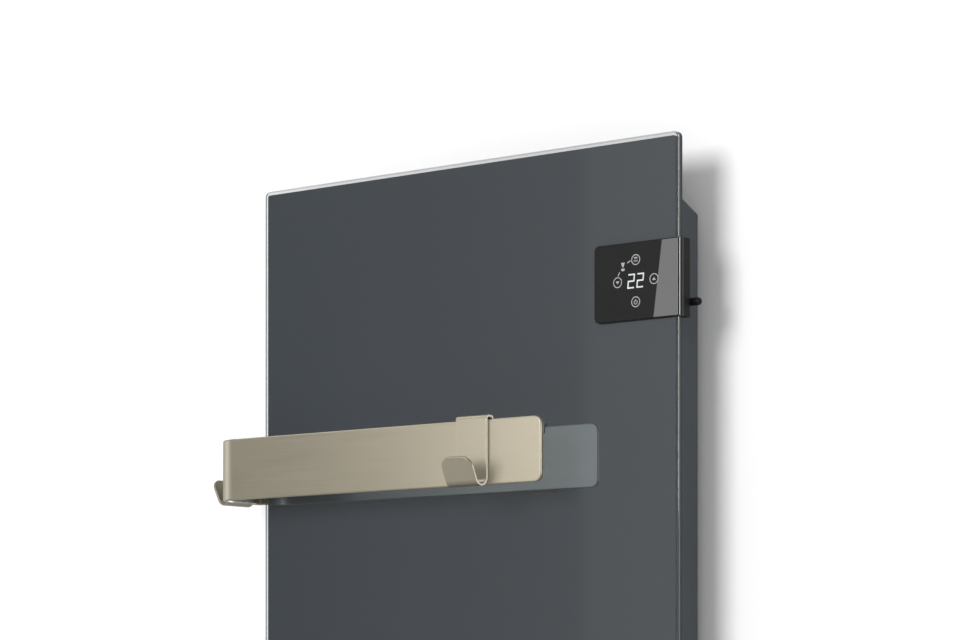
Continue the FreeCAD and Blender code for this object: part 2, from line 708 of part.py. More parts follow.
def towel_bar():
    """Flat strip: front run, side leg past the glass edge, return leg into the housing."""
    half = BAR_THICKNESS / 2
    front = Y_BAR_FRONT + half
    side = X_BAR_SIDE + half
    back = Y_RETURN_BACK - half
    chain = [(X_BAR_END, front), (side, front), (side, back), (X_BAR_RETURN_END, back)]
    points = [Vector(x, y, Z_BAR - BAR_HEIGHT / 2) for x, y in chain]
    radii = [BAR_BEND_RADIUS - half, BAR_RETURN_BEND_RADIUS - half]
    bar = bent_strip(points, BAR_THICKNESS, radii, Z_AXIS * BAR_HEIGHT)
    end = straight_edges(bar, Y_AXIS, lambda c: c.x > X_BAR_END - FIT_GAP)
    bar = bar.makeFillet(BAR_CORNER_RADIUS, end)
    rims = [e for e in outline_edges(bar, BAR_THICKNESS + FIT_GAP)
            if abs(e.CenterOfMass.x - X_BAR_RETURN_END) > FIT_GAP]
    bar = bar.makeFillet(BAR_EDGE_RADIUS, rims)
    holes = []
    for x, z in bar_screw_places():
        holes.append(rod(BAR_SCREW_RADIUS + FIT_GAP, Vector(x, Y_RETURN_FRONT, z), Vector(x, Y_RETURN_BACK, z)))
    return cut_all(bar, holes)


def bar_slot_trim():
    """Trim between the bar and the edges of its slot, with a lip outside the wall."""
    sleeve = bar_section(-X_HOUSING, -X_HOUSING_INNER + TRIM_TAIL, TRIM_WALL + FIT_GAP)
    half = BAR_HEIGHT / 2 + TRIM_WALL + TRIM_LIP
    y0 = Y_RETURN_FRONT - TRIM_WALL - TRIM_LIP
    y1 = Y_RETURN_BACK + TRIM_WALL + TRIM_LIP
    x0 = -X_HOUSING - TRIM_LIP_THICKNESS
    lip = box(x0, -X_HOUSING, y0, y1, Z_BAR - half, Z_BAR + half)
    return sleeve.fuse(lip).cut(bar_section(x0, -X_HOUSING_INNER + TRIM_TAIL, FIT_GAP))


def bar_screw_places():
    """Screw places where the bar's return leg meets its bracket."""
    return grid(X_BRACKET, Z_BAR, BAR_SCREW_PITCH, BAR_SCREW_PITCH)


def bracket_rivet_places():
    """Rivet places in the feet of the bracket."""
    return grid(X_BRACKET, Z_BAR, BAR_SCREW_PITCH, BRACKET_HEIGHT + BRACKET_FOOT)


def bar_bracket():
    """Hat-shaped bracket between the tray's back and the bar's return leg."""
    middle = BRACKET_SHEET / 2
    foot = Y_HOUSING_INNER - middle
    face = Y_RETURN_BACK + middle
    inner = BRACKET_HEIGHT / 2 - middle
    outer = BRACKET_HEIGHT / 2 + BRACKET_FOOT
    chain = [(foot, -outer), (foot, -inner), (face, -inner), (face, inner), (foot, inner), (foot, outer)]
    points = [Vector(X_BRACKET - BRACKET_WIDTH / 2, y, Z_BAR + z) for y, z in chain]
    hat = bent_strip(points, BRACKET_SHEET, [BRACKET_BEND_RADIUS] * 4, X_AXIS * BRACKET_WIDTH)
    holes = []
    for x, z in bar_screw_places():
        start = Vector(x, Y_RETURN_BACK, z)
        holes.append(rod(BAR_SCREW_RADIUS + FIT_GAP, start, start + Y_AXIS * BRACKET_SHEET))
    for x, z in bracket_rivet_places():
        start = Vector(x, Y_HOUSING_INNER - BRACKET_SHEET, z)
        holes.append(rod(RIVET_RADIUS + FIT_GAP, start, start + Y_AXIS * BRACKET_SHEET))
    return cut_all(hat, holes)


def bar_screws():
    """Screws from inside the bracket into the bar."""
    length = BRACKET_SHEET + BAR_THICKNESS
    screws = []
    for x, z in bar_screw_places():
        seat = Vector(x, Y_RETURN_BACK + BRACKET_SHEET, z)
        screws.append(headed_pin(seat, -Y_AXIS, BAR_SCREW_RADIUS, length,
                                 BAR_SCREW_HEAD_RADIUS, BAR_SCREW_HEAD_HEIGHT))
    return Part.makeCompound(screws)


def bracket_rivets():
    """Rivets through the bracket's feet and the tray."""
    return Part.makeCompound([rivet(x, z, Y_HOUSING_INNER - BRACKET_SHEET, Y_HOUSING_BACK)
                              for x, z in bracket_rivet_places()])


def access_plugs():
    """Plugs in the tray's holes behind the bar's screws."""
    plugs = []
    for x, z in bar_screw_places():
        seat = Vector(x, Y_HOUSING_BACK, z)
        plugs.append(headed_pin(seat, -Y_AXIS, ACCESS_HOLE_RADIUS - FIT_GAP, PLUG_STEM_LENGTH,
                                ACCESS_HOLE_RADIUS + PLUG_HEAD_OVERLAP, PLUG_HEAD_HEIGHT))
    return Part.makeCompound(plugs)


# Control unit


def control_plate(inset, y0, y1):
    """A plate with the control unit's outline, drawn in by an inset, with round left corners."""
    half = CONTROL_HEIGHT / 2 - inset
    plate = box(X_CONTROL_LEFT + inset, X_CONTROL - inset, y0, y1, Z_CONTROL - half, Z_CONTROL + half)
    left = straight_edges(plate, Y_AXIS, lambda c: c.x < X_CONTROL_CENTRE)
    return plate.makeFillet(CONTROL_CORNER_RADIUS - inset, left)


def control_front_case():
    """Front half of the control unit: a shallow tray that also covers the glass edge."""
    half = CONTROL_HEIGHT / 2
    plate = control_plate(0, Y_CONTROL_FRONT, Y_GLASS_FRONT)
    bridge = box(X_CONTROL_BRIDGE, X_CONTROL, Y_GLASS_FRONT, Y_SEAM, Z_CONTROL - half, Z_CONTROL + half)
    case = fuse_all([plate, bridge])
    corner = straight_edges(case, Z_AXIS, lambda c: c.x > X_CONTROL - FIT_GAP and c.y < Y_CONTROL_FRONT + FIT_GAP)
    case = case.makeFillet(CONTROL_EDGE_RADIUS, corner)
    seat = control_plate(CONTROL_BEZEL - FIT_GAP, Y_CONTROL_FRONT, Y_FASCIA_BACK)
    pocket = control_plate(CONTROL_BEZEL + TOUCH_BOARD_INSET - FIT_GAP, Y_FASCIA_BACK, Y_TOUCH_BACK)
    return cut_all(case, [seat, pocket])


def control_fascia():
    """Gloss plate set into the front case."""
    return control_plate(CONTROL_BEZEL, Y_CONTROL_FRONT, Y_FASCIA_BACK)


def touch_board():
    """Touch board behind the fascia, with a window for the display."""
    board = control_plate(CONTROL_BEZEL + TOUCH_BOARD_INSET, Y_FASCIA_BACK, Y_TOUCH_BACK)
    width = DISPLAY_WIDTH + 2 * FIT_GAP
    height = DISPLAY_HEIGHT + 2 * FIT_GAP
    return board.cut(centred_block(X_CONTROL_CENTRE, Z_CONTROL, width, height, Y_FASCIA_BACK, Y_TOUCH_BACK))


def led_display():
    """Digit display in the window of the touch board."""
    return centred_block(X_CONTROL_CENTRE, Z_CONTROL, DISPLAY_WIDTH, DISPLAY_HEIGHT, Y_FASCIA_BACK, Y_TOUCH_BACK)


def control_rear_case():
    """Rear half of the control unit: hooks behind the glass and snaps into the housing wall."""
    half = CONTROL_HEIGHT / 2
    z0 = Z_CONTROL - half
    z1 = Z_CONTROL + half
    bridge = box(X_CONTROL_BRIDGE, X_CONTROL, Y_SEAM + CONTROL_SEAM_GAP, Y_CONTROL_BACK, z0, z1)
    block = box(X_HOUSING, X_CONTROL, Y_GLASS_BACK, Y_CONTROL_BACK, z0, z1)
    body = fuse_all([bridge, block])
    corner = straight_edges(body, Z_AXIS, lambda c: c.x > X_CONTROL - FIT_GAP and c.y > Y_CONTROL_BACK - FIT_GAP)
    body = body.makeFillet(CONTROL_EDGE_RADIUS, corner)
    tabs = []
    for k in (-1, 1):
        z = Z_CONTROL + k * TAB_PITCH / 2
        x0 = X_HOUSING_INNER - TAB_REACH
        tabs.append(box(x0, X_HOUSING, Y_TAB, Y_CONTROL_BACK, z - TAB_HEIGHT / 2, z + TAB_HEIGHT / 2))
    body = fuse_all([body] + tabs)
    start = Vector(X_HOUSING, Y_CONTROL_LEAD, Z_CONTROL)
    lead_hole = rod(CONTROL_LEAD_RADIUS + FIT_GAP, start, start + X_AXIS * CONTROL_LEAD_TAIL)
    return body.cut(lead_hole)


def sensor_foot():
    """Where the sensor's axis leaves the side wall of the tray."""
    return Vector(X_HOUSING, Y_CONTROL_BACK + SENSOR_SETBACK, Z_GLASS - SENSOR_DROP)


def sensor_stem(extra):
    """The sensor's stem, which passes through the side wall of the tray."""
    foot = sensor_foot()
    return rod(SENSOR_STEM_RADIUS + extra, foot - X_AXIS * (HOUSING_SHEET + SENSOR_STEM_TAIL), foot)


def room_sensor():
    """Round sensor with a domed tip."""
    foot = sensor_foot()
    dome = foot + X_AXIS * (SENSOR_LENGTH - SENSOR_RADIUS)
    body = rod(SENSOR_RADIUS, foot, dome)
    return fuse_all([sensor_stem(0), body, Part.makeSphere(SENSOR_RADIUS, dome)])


# Power board on the service cover


def standoff_places():
    """Places of the standoffs near the board's corners."""
    return grid(X_BOARD, Z_BOARD, BOARD_WIDTH - 2 * STANDOFF_INSET, BOARD_HEIGHT - 2 * STANDOFF_INSET)


def power_board():
    """Circuit board with holes over the standoffs."""
    board = centred_block(X_BOARD, Z_BOARD, BOARD_WIDTH, BOARD_HEIGHT, Y_BOARD_FRONT, Y_BOARD_BACK)
    holes = []
    for x, z in standoff_places():
        start = Vector(x, Y_BOARD_FRONT, z)
        holes.append(rod(SMALL_SCREW_RADIUS + FIT_GAP, start, start + Y_AXIS * BOARD_THICKNESS))
    return cut_all(board, holes)


def board_standoffs():
    """Threaded standoffs between the service cover and the board."""
    posts = []
    for x, z in standoff_places():
        foot = Vector(x, Y_HOUSING_BACK, z)
        head = Vector(x, Y_BOARD_BACK, z)
        post = rod(STANDOFF_RADIUS, foot, head)
        posts.append(post.cut(rod(SMALL_SCREW_RADIUS + FIT_GAP, foot, head)))
    return Part.makeCompound(posts)


def board_screws():
    """Screws through the board into the standoffs."""
    screws = []
    for x, z in standoff_places():
        seat = Vector(x, Y_BOARD_FRONT, z)
        screws.append(headed_pin(seat, Y_AXIS, SMALL_SCREW_RADIUS, SMALL_SCREW_LENGTH,
                                 SMALL_SCREW_HEAD_RADIUS, SMALL_SCREW_HEAD_HEIGHT))
    return Part.makeCompound(screws)


def board_part(x, z, width, height, depth):
    """A component that stands on the board, with softened edges."""
    body = centred_block(x, z, width, height, Y_BOARD_FRONT - depth, Y_BOARD_FRONT)
    outer = [e for e in body.Edges if e.CenterOfMass.y < Y_BOARD_FRONT - FIT_GAP]
    return body.makeFillet(COMPONENT_EDGE_RADIUS, outer)


def relay():
    """Relay that switches the heating mat."""
    x = X_BOARD - BOARD_WIDTH / 2 + COMPONENT_MARGIN + RELAY_WIDTH / 2
    z = Z_BOARD + BOARD_HEIGHT / 2 - COMPONENT_MARGIN - RELAY_HEIGHT / 2
    return board_part(x, z, RELAY_WIDTH, RELAY_HEIGHT, RELAY_DEPTH)


def transformer():
    """Transformer: a wound block inside a wider core plate."""
    z = Z_BOARD
    core_depth = TRANSFORMER_DEPTH - 2 * TRANSFORMER_LIP
    block = board_part(X_BOARD, z, TRANSFORMER_WIDTH, TRANSFORMER_HEIGHT, TRANSFORMER_DEPTH)
    core = board_part(X_BOARD, z, TRANSFORMER_WIDTH + 2 * TRANSFORMER_LIP,
                      TRANSFORMER_HEIGHT - 2 * TRANSFORMER_LIP, core_depth)
    return fuse_all([block, core])


def terminal_block():
    """Terminal block with a screw well for each pole."""
    body = board_part(X_TERMINAL, Z_TERMINAL, TERMINAL_WIDTH, TERMINAL_HEIGHT, TERMINAL_DEPTH)
    front = Y_BOARD_FRONT - TERMINAL_DEPTH
    wells = []
    for k in range(TERMINAL_COUNT):
        x = X_TERMINAL + (k - (TERMINAL_COUNT - 1) / 2) * TERMINAL_PITCH
        wells.append(rod(TERMINAL_SCREW_RADIUS, Vector(x, front, Z_TERMINAL),
                         Vector(x, front + TERMINAL_SCREW_SINK, Z_TERMINAL)))
    return cut_all(body, wells)


def connector_x():
    """Middle of the control connector, near the board's right edge."""
    return X_BOARD + BOARD_WIDTH / 2 - CONNECTOR_MARGIN - CONNECTOR_WIDTH / 2


def control_connector():
    """Connector of the control unit's lead."""
    return board_part(connector_x(), Z_CONTROL, CONNECTOR_WIDTH, CONNECTOR_HEIGHT, CONNECTOR_DEPTH)


def control_lead():
    """Lead from the control unit through the housing wall to its connector."""
    x = connector_x()
    start = Vector(X_HOUSING + CONTROL_LEAD_TAIL - FIT_GAP, Y_CONTROL_LEAD, Z_CONTROL)
    bend = Vector(x, Y_CONTROL_LEAD, Z_CONTROL)
    end = Vector(x, Y_BOARD_FRONT - CONNECTOR_DEPTH, Z_CONTROL)
    return lead([start, bend, end], CONTROL_LEAD_RADIUS)


# Connections of the heating mat and the earth


def mat_terminals():
    """Terminals on the mat: one fed directly, one through the limiter."""
    y1 = Y_MAT_BACK + MAT_BLOCK_DEPTH
    return Part.makeCompound([centred_block(x, Z_CONNECTION, MAT_BLOCK_WIDTH, MAT_BLOCK_HEIGHT, Y_MAT_BACK, y1)
                              for x in (X_LINKED_BLOCK, X_MAT_BLOCK)])


def overheat_limiter():
    """Round limiter whose flange lies on the mat."""
    foot = Vector(X_LIMITER, Y_MAT_BACK, Z_CONNECTION)
    flange = rod(LIMITER_FLANGE_RADIUS, foot, foot + Y_AXIS * LIMITER_FLANGE_THICKNESS)
    return fuse_all([flange, rod(LIMITER_RADIUS, foot, foot + Y_AXIS * LIMITER_DEPTH)])


def drop_lead(x, y_end, z_end):
    """Lead that comes down from the terminal block and turns to a connection."""
    top = Vector(x, Y_LEAD, Z_TERMINAL - TERMINAL_HEIGHT / 2)
    return lead([top, Vector(x, Y_LEAD, z_end), Vector(x, y_end, z_end)], LEAD_RADIUS)


def element_leads():
    """Leads to the limiter and the mat, and the link from the limiter to its terminal."""
    to_limiter = drop_lead(X_LIMITER, Y_MAT_BACK + LIMITER_DEPTH, Z_CONNECTION)
    to_mat = drop_lead(X_MAT_BLOCK, Y_MAT_BACK + MAT_BLOCK_DEPTH, Z_CONNECTION)
    y = Y_MAT_BACK + MAT_BLOCK_DEPTH / 2
    start = Vector(X_LINKED_BLOCK + MAT_BLOCK_WIDTH / 2, y, Z_CONNECTION)
    reach = X_LIMITER - LIMITER_RADIUS - start.x
    link = rod(LEAD_RADIUS, start, start + X_AXIS * (reach - FIT_GAP))
    return Part.makeCompound([to_limiter, to_mat, link])


def earth_stud():
    """Stud welded to the tray's back."""
    foot = Vector(X_EARTH, Y_HOUSING_INNER, Z_CONNECTION)
    return rod(EARTH_STUD_RADIUS, foot, foot - Y_AXIS * EARTH_STUD_LENGTH)


def earth_nut():
    """Nut on the earth stud."""
    foot = Vector(X_EARTH, Y_HOUSING_INNER, Z_CONNECTION)
    return hexagon_nut(foot, -Y_AXIS, EARTH_NUT_RADIUS, EARTH_NUT_HEIGHT, EARTH_STUD_RADIUS + FIT_GAP)


def earth_lead():
    """Lead from the terminal block down to the end of the earth stud."""
    z = Z_CONNECTION + EARTH_STUD_RADIUS + LEAD_RADIUS + FIT_GAP
    return drop_lead(X_EARTH, Y_HOUSING_INNER - EARTH_NUT_HEIGHT - FIT_GAP, z)


# Cable gland


def cable_gland():
    """Gland through the lower end wall, bored for the supply cable."""
    foot, outward = gland_axis()
    inner = foot - outward * (HOUSING_SHEET + GLAND_STEM_INSIDE)
    collar = foot + outward * GLAND_COLLAR_LENGTH
    stem = rod(GLAND_STEM_RADIUS, inner, foot)
    ring = rod(GLAND_COLLAR_RADIUS, foot, collar)
    cap = Part.makeCone(GLAND_COLLAR_RADIUS, GLAND_MOUTH_RADIUS, GLAND_CAP_LENGTH, collar, outward)
    mouth = collar + outward * GLAND_CAP_LENGTH
    return fuse_all([stem, ring, cap]).cut(rod(GLAND_BORE_RADIUS, inner, mouth))


def gland_nut():
    """Nut that holds the gland from inside the tray."""
    foot, outward = gland_axis()
    seat = foot - outward * HOUSING_SHEET
    return hexagon_nut(seat, -outward, GLAND_NUT_RADIUS, GLAND_NUT_HEIGHT, GLAND_STEM_RADIUS + FIT_GAP)


# Hooks, made at the front of a bar whose top front edge is the origin, then turned and set in place


def hook_sheet():
    """Sheet folded over the bar, down its front and up into an outward-leaning trough."""
    middle = HOOK_SHEET / 2
    front = -(LINER_THICKNESS + FIT_GAP + middle)
    back = BAR_THICKNESS + LINER_THICKNESS + FIT_GAP + middle
    top = LINER_TOP + FIT_GAP + middle
    bottom = -(BAR_HEIGHT + HOOK_TROUGH_BELOW_BAR - middle)
    lean = math.radians(HOOK_FLANGE_LEAN)
    turn = math.pi / 2 - lean
    far = front - HOOK_TROUGH_RADIUS * (1 + math.tan(turn / 2))
    tip = bottom + HOOK_FLANGE_HEIGHT
    x = -HOOK_WIDTH / 2
    chain = [(back, top - HOOK_BACK_LENGTH), (back, top), (front, top), (front, bottom), (far, bottom),
             (far - HOOK_FLANGE_HEIGHT * math.tan(lean), tip)]
    radii = [HOOK_FOLD_RADIUS, HOOK_FOLD_RADIUS, HOOK_TROUGH_RADIUS, HOOK_TROUGH_RADIUS]
    sheet = bent_strip([Vector(x, y, z) for y, z in chain], HOOK_SHEET, radii, X_AXIS * HOOK_WIDTH)
    across = Vector(0, -math.cos(lean), -math.sin(lean))
    corners = straight_edges(sheet, across, lambda c: c.z > tip - HOOK_SHEET and c.y < far)
    sheet = sheet.makeFillet(HOOK_FLANGE_CORNER, corners)
    sides = [e for e in sheet.Edges if abs(abs(e.CenterOfMass.x) - HOOK_WIDTH / 2) < FIT_GAP
             and e.Length > HOOK_SHEET + FIT_GAP]
    return sheet.makeFillet(HOOK_EDGE_RADIUS, sides)


def hook_liner():
    """Rubber channel inside the hook's fold, which rests on the bar."""
    half = HOOK_WIDTH / 2 - LINER_INSET
    top = LINER_TOP + FIT_GAP
    y0 = -LINER_THICKNESS - FIT_GAP
    y1 = BAR_THICKNESS + LINER_THICKNESS + FIT_GAP
    block = box(-half, half, y0, y1, top - LINER_LENGTH, top)
    upper = straight_edges(block, X_AXIS, lambda c: c.z > top - FIT_GAP)
    block = block.makeFillet(HOOK_FOLD_RADIUS - HOOK_SHEET / 2 + FIT_GAP, upper)
    return block.cut(box(-half, half, -FIT_GAP, BAR_THICKNESS + FIT_GAP, top - LINER_LENGTH, FIT_GAP))


def on_front(shape):
    """Set a hook piece on the bar's front run."""
    x = X_BAR_END - FRONT_HOOK_FROM_END
    shape.Placement = FreeCAD.Placement(Vector(x, Y_BAR_FRONT, Z_BAR_TOP), FreeCAD.Rotation())
    return shape


def on_side(shape):
    """Turn a hook piece to face left and set it in the middle of the flat of the bar's side leg."""
    y = (Y_BAR_FRONT + BAR_BEND_RADIUS + Y_RETURN_BACK - BAR_RETURN_BEND_RADIUS) / 2
    shape.Placement = FreeCAD.Placement(Vector(X_BAR_SIDE, y, Z_BAR_TOP), FreeCAD.Rotation(Z_AXIS, -90))
    return shape


def hook_front():
    """Hook on the bar's front run."""
    return on_front(hook_sheet())


def hook_front_liner():
    """Liner of the front hook."""
    return on_front(hook_liner())


def hook_side():
    """Hook on the bar's side leg."""
    return on_side(hook_sheet())


def hook_side_liner():
    """Liner of the side hook."""
    return on_side(hook_liner())


PIECES = (
    wall_rail_upper, wall_rail_lower,
    glass_panel, bond_bead, heating_mat, insulation_board,
    rear_housing, service_cover, cover_screws, wall_buffers,
    hangers_upper, hangers_lower, hanger_rivets,
    towel_bar, bar_slot_trim, bar_bracket, bar_screws, bracket_rivets, access_plugs,
    control_front_case, control_fascia, touch_board, led_display, control_rear_case, room_sensor,
    power_board, board_standoffs, board_screws, relay, transformer, terminal_block,
    control_connector, control_lead,
    mat_terminals, overheat_limiter, element_leads, earth_stud, earth_nut, earth_lead,
    cable_gland, gland_nut,
    hook_front, hook_front_liner, hook_side, hook_side_liner,
)


def main():
    """Make every piece and write it under its own name."""
    os.makedirs("parts", exist_ok=True)
    for piece in PIECES:
        shape = piece()
        shape.exportStep(os.path.join("parts", piece.__name__ + ".step"))
        print(piece.__name__, len(shape.Solids), shape.isValid(), round(shape.Volume, 1))


main()
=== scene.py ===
"""Looks of a wall-hung glass towel warmer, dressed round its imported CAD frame.

Metres, in the frame of the CAD part: +Z is up, the glass faces -Y and the wall is the plane Y = 0.
"""

import logging
import math
from collections.abc import Callable, Iterable, Sequence
from dataclasses import dataclass, field
from enum import Enum
from functools import cached_property

import bmesh
import bpy
from bmesh.types import BMEdge, BMesh, BMFace, BMVert
from bpy.types import Collection, Material, Node, NodeTree, Object
from bpy.types import NodeSocket as Socket
from mathutils import Matrix, Vector


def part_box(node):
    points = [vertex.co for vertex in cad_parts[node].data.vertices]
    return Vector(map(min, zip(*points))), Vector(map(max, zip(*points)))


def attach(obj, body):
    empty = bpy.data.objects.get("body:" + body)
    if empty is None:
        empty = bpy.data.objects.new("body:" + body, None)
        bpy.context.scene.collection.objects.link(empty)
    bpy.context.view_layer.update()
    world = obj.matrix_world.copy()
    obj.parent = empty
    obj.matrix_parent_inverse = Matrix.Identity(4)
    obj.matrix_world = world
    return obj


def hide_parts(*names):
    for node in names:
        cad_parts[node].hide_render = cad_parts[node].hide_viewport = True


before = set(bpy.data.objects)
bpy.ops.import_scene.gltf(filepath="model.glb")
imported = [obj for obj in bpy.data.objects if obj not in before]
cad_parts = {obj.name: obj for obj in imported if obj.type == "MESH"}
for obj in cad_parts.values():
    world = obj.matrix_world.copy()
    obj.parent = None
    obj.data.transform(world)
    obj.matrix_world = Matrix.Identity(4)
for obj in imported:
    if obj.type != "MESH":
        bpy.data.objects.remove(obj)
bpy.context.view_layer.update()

LOG = logging.getLogger("towel_warmer")
MM = 0.001
SMOOTH_ANGLE = math.radians(35)
PARALLEL = 0.999  # cosine above which an edge runs along an axis
FACING = 0.9  # cosine above which a face looks along an axis
ACROSS = 0.1  # cosine below which it looks across the axis
NEAR = 0.1 * MM  # distance below which things lie on one outline
TOUCH = 1e-6  # distance below which they lie in one plane

Colour = tuple[float, float, float]
Triple = tuple[float, float, float]
Pair = tuple[float, float]
Names = tuple[str, ...]
Ramp = tuple[float, float, float, float]


class Axis(Enum):
    """Directions of the part's frame."""

    X = Vector((1, 0, 0))
    Y = Vector((0, 1, 0))
    Z = Vector((0, 0, 1))


# Shader nodes


class Graph:
    """Nodes and links of one shader tree."""

    def __init__(self, tree: NodeTree) -> None:
        """Start from an emptied tree of a material, world or group."""
        tree.nodes.clear()
        self.tree = tree

    def add(self, kind: str, inputs: dict | None = None, **settings: object) -> Node:
        """Add a node, then set or link its inputs.

        Args:
            kind: Blender's name of the node type.
            inputs: Values or source sockets by input name or number.
            settings: Properties of the node itself.

        Returns:
            The new node.
        """
        node = self.tree.nodes.new(kind)
        for name, value in settings.items():
            setattr(node, name, value)
        for key, value in (inputs or {}).items():
            if isinstance(value, Socket):
                self.tree.links.new(value, node.inputs[key])
            else:
                node.inputs[key].default_value = value
        return node

    def maths(self, operation: str, *terms: object) -> Socket:
        """Combine numbers or sockets by an operation of the Math node."""
        return self.add("ShaderNodeMath", dict(enumerate(terms)), operation=operation).outputs[0]

    def blend(self, factor: object, a: object, b: object) -> Socket:
        """Mix two colours or colour sockets; the factor is the share of the second."""
        tints = [c if isinstance(c, Socket) else (*c, 1.0) for c in (a, b)]
        return self.add("ShaderNodeMix", {0: factor, 6: tints[0], 7: tints[1]}, data_type="RGBA").outputs[2]

    def spread(self, value: object, low: object, high: object, start: float = 0.0, end: float = 1.0) -> Socket:
        """Map a value from its range, start to end, to the range from low to high."""
        inputs = {"Value": value, "From Min": start, "From Max": end, "To Min": low, "To Max": high}
        return self.add("ShaderNodeMapRange", inputs).outputs["Result"]

    def place(self) -> Socket:
        """Object coordinates of the shaded point."""
        return self.add("ShaderNodeTexCoord").outputs["Object"]

    def noise(self, vector: object, scale: object, detail: float) -> Socket:
        """Value of a noise texture at a point."""
        inputs = {"Vector": vector, "Scale": scale, "Detail": detail}
        return self.add("ShaderNodeTexNoise", inputs).outputs["Fac"]

    def contrast(self, value: object, dark: float = 0.3, light: float = 0.7) -> Socket:
        """Stretch the middle values of a noise to the whole range."""
        return self.spread(value, 0.0, 1.0, dark, light)


class Effects:
    """Surface effects that several finishes share, each a node group built once.

    The pairs are ranges over which a mask fades: of the match between a rounded normal and the true one at a rubbed
    and at a cut edge, and of how far a face looks up for dust to lie on it. The ramps break a mask up by a noise.
    """

    rubbed: Pair = (0.75, 0.995)
    rub_patches: Ramp = (0.35, 1.0, 0.35, 0.6)
    cut: Pair = (0.8, 0.985)
    level: Pair = (0.55, 0.95)
    dust_drift: Ramp = (0.2, 1.0, 0.35, 0.7)

    def _group(self, name: str, inputs: dict, outputs: Names) -> tuple[Graph, dict, Node]:
        """Start a shader node group.

        Args:
            name: Name of the group.
            inputs: Default values by socket name: a number, or three for a vector.
            outputs: Names of the values that it puts out.

        Returns:
            The group's graph, its input sockets by name and its output node.
        """
        tree = bpy.data.node_groups.new(name, "ShaderNodeTree")
        for label, value in inputs.items():
            kind = "NodeSocketVector" if isinstance(value, tuple) else "NodeSocketFloat"
            tree.interface.new_socket(label, in_out="INPUT", socket_type=kind).default_value = value
        for label in outputs:
            tree.interface.new_socket(label, in_out="OUTPUT", socket_type="NodeSocketFloat")
        graph = Graph(tree)
        source = graph.add("NodeGroupInput")
        return graph, {label: source.outputs[label] for label in inputs}, graph.add("NodeGroupOutput")

    def _match(self, g: Graph, radius: Socket) -> Socket:
        """Compare the normal rounded over edges with the true one.

        Args:
            g: Graph of the group.
            radius: How far the rounding reaches.

        Returns:
            Their match, which is 1 away from edges.
        """
        soft = g.add("ShaderNodeBevel", {"Radius": radius}, samples=4).outputs["Normal"]
        true = g.add("ShaderNodeNewGeometry").outputs["Normal"]
        return g.add("ShaderNodeVectorMath", {0: soft, 1: true}, operation="DOT_PRODUCT").outputs["Value"]

    @cached_property
    def streaks(self) -> NodeTree:
        """Fine drawn-out lines, as on brushed metal or fibre board.

        Returns:
            The node group.
        """
        g, inp, out = self._group("drawn_streaks", {"Stretch": (1.0, 1.0, 1.0)}, ("Broad", "Fine"))
        vector = g.add("ShaderNodeVectorMath", {0: g.place(), 1: inp["Stretch"]}, operation="MULTIPLY").outputs[0]
        for label, scale, detail in (("Broad", 1.0, 2.0), ("Fine", 5.0, 4.0)):
            g.tree.links.new(g.contrast(g.noise(vector, scale, detail)), out.inputs[label])
        return g.tree

    @cached_property
    def mottle(self) -> NodeTree:
        """Soft clouds and fine grain, as in paint and moulded plastic.

        Returns:
            The node group.
        """
        g, inp, out = self._group("mottle", {"Clouds": 8.0, "Grain": 900.0}, ("Broad", "Fine"))
        where = g.place()
        for label, scale, detail in (("Broad", inp["Clouds"], 3.0), ("Fine", inp["Grain"], 2.0)):
            g.tree.links.new(g.contrast(g.noise(where, scale, detail)), out.inputs[label])
        return g.tree

    @cached_property
    def rub(self) -> NodeTree:
        """Mask of outer edges, broken up, where handling polishes a surface.

        Returns:
            The node group.
        """
        g, inp, out = self._group("edge_rub", {"Radius": 0.4 * MM, "Break": 240.0}, ("Mask",))
        edge = g.spread(self._match(g, inp["Radius"]), 1.0, 0.0, *self.rubbed)
        patch = g.spread(g.noise(g.place(), inp["Break"], 3.0), *self.rub_patches)
        g.tree.links.new(g.maths("MULTIPLY", edge, patch), out.inputs["Mask"])
        return g.tree

    @cached_property
    def edge(self) -> NodeTree:
        """Mask of outer edges, unbroken, where a sheet is cut and polished; the tint it lays is mostly a painted
        highlight, edges lighter as if they caught the light.

        Returns:
            The node group.
        """
        g, inp, out = self._group("painted_edge_highlight", {"Radius": 1.0 * MM}, ("Mask",))
        g.tree.links.new(g.spread(self._match(g, inp["Radius"]), 1.0, 0.0, *self.cut), out.inputs["Mask"])
        return g.tree

    @cached_property
    def dust(self) -> NodeTree:
        """Mask of dust that settles on faces that look up.

        Returns:
            The node group.
        """
        g, inp, out = self._group("settled_dust", {"Scale": 60.0}, ("Mask",))
        normal = g.add("ShaderNodeNewGeometry").outputs["Normal"]
        up = g.add("ShaderNodeSeparateXYZ", {0: normal}).outputs["Z"]
        level = g.spread(up, 0.0, 1.0, *self.level)
        drift = g.spread(g.noise(g.place(), inp["Scale"], 6.0), *self.dust_drift)
        g.tree.links.new(g.maths("MULTIPLY", level, drift), out.inputs["Mask"])
        return g.tree


EFFECTS = Effects()


class Pattern(Enum):
    """Which shared effect carries a finish's variation."""

    STREAKS = "streaks"
    MOTTLE = "mottle"


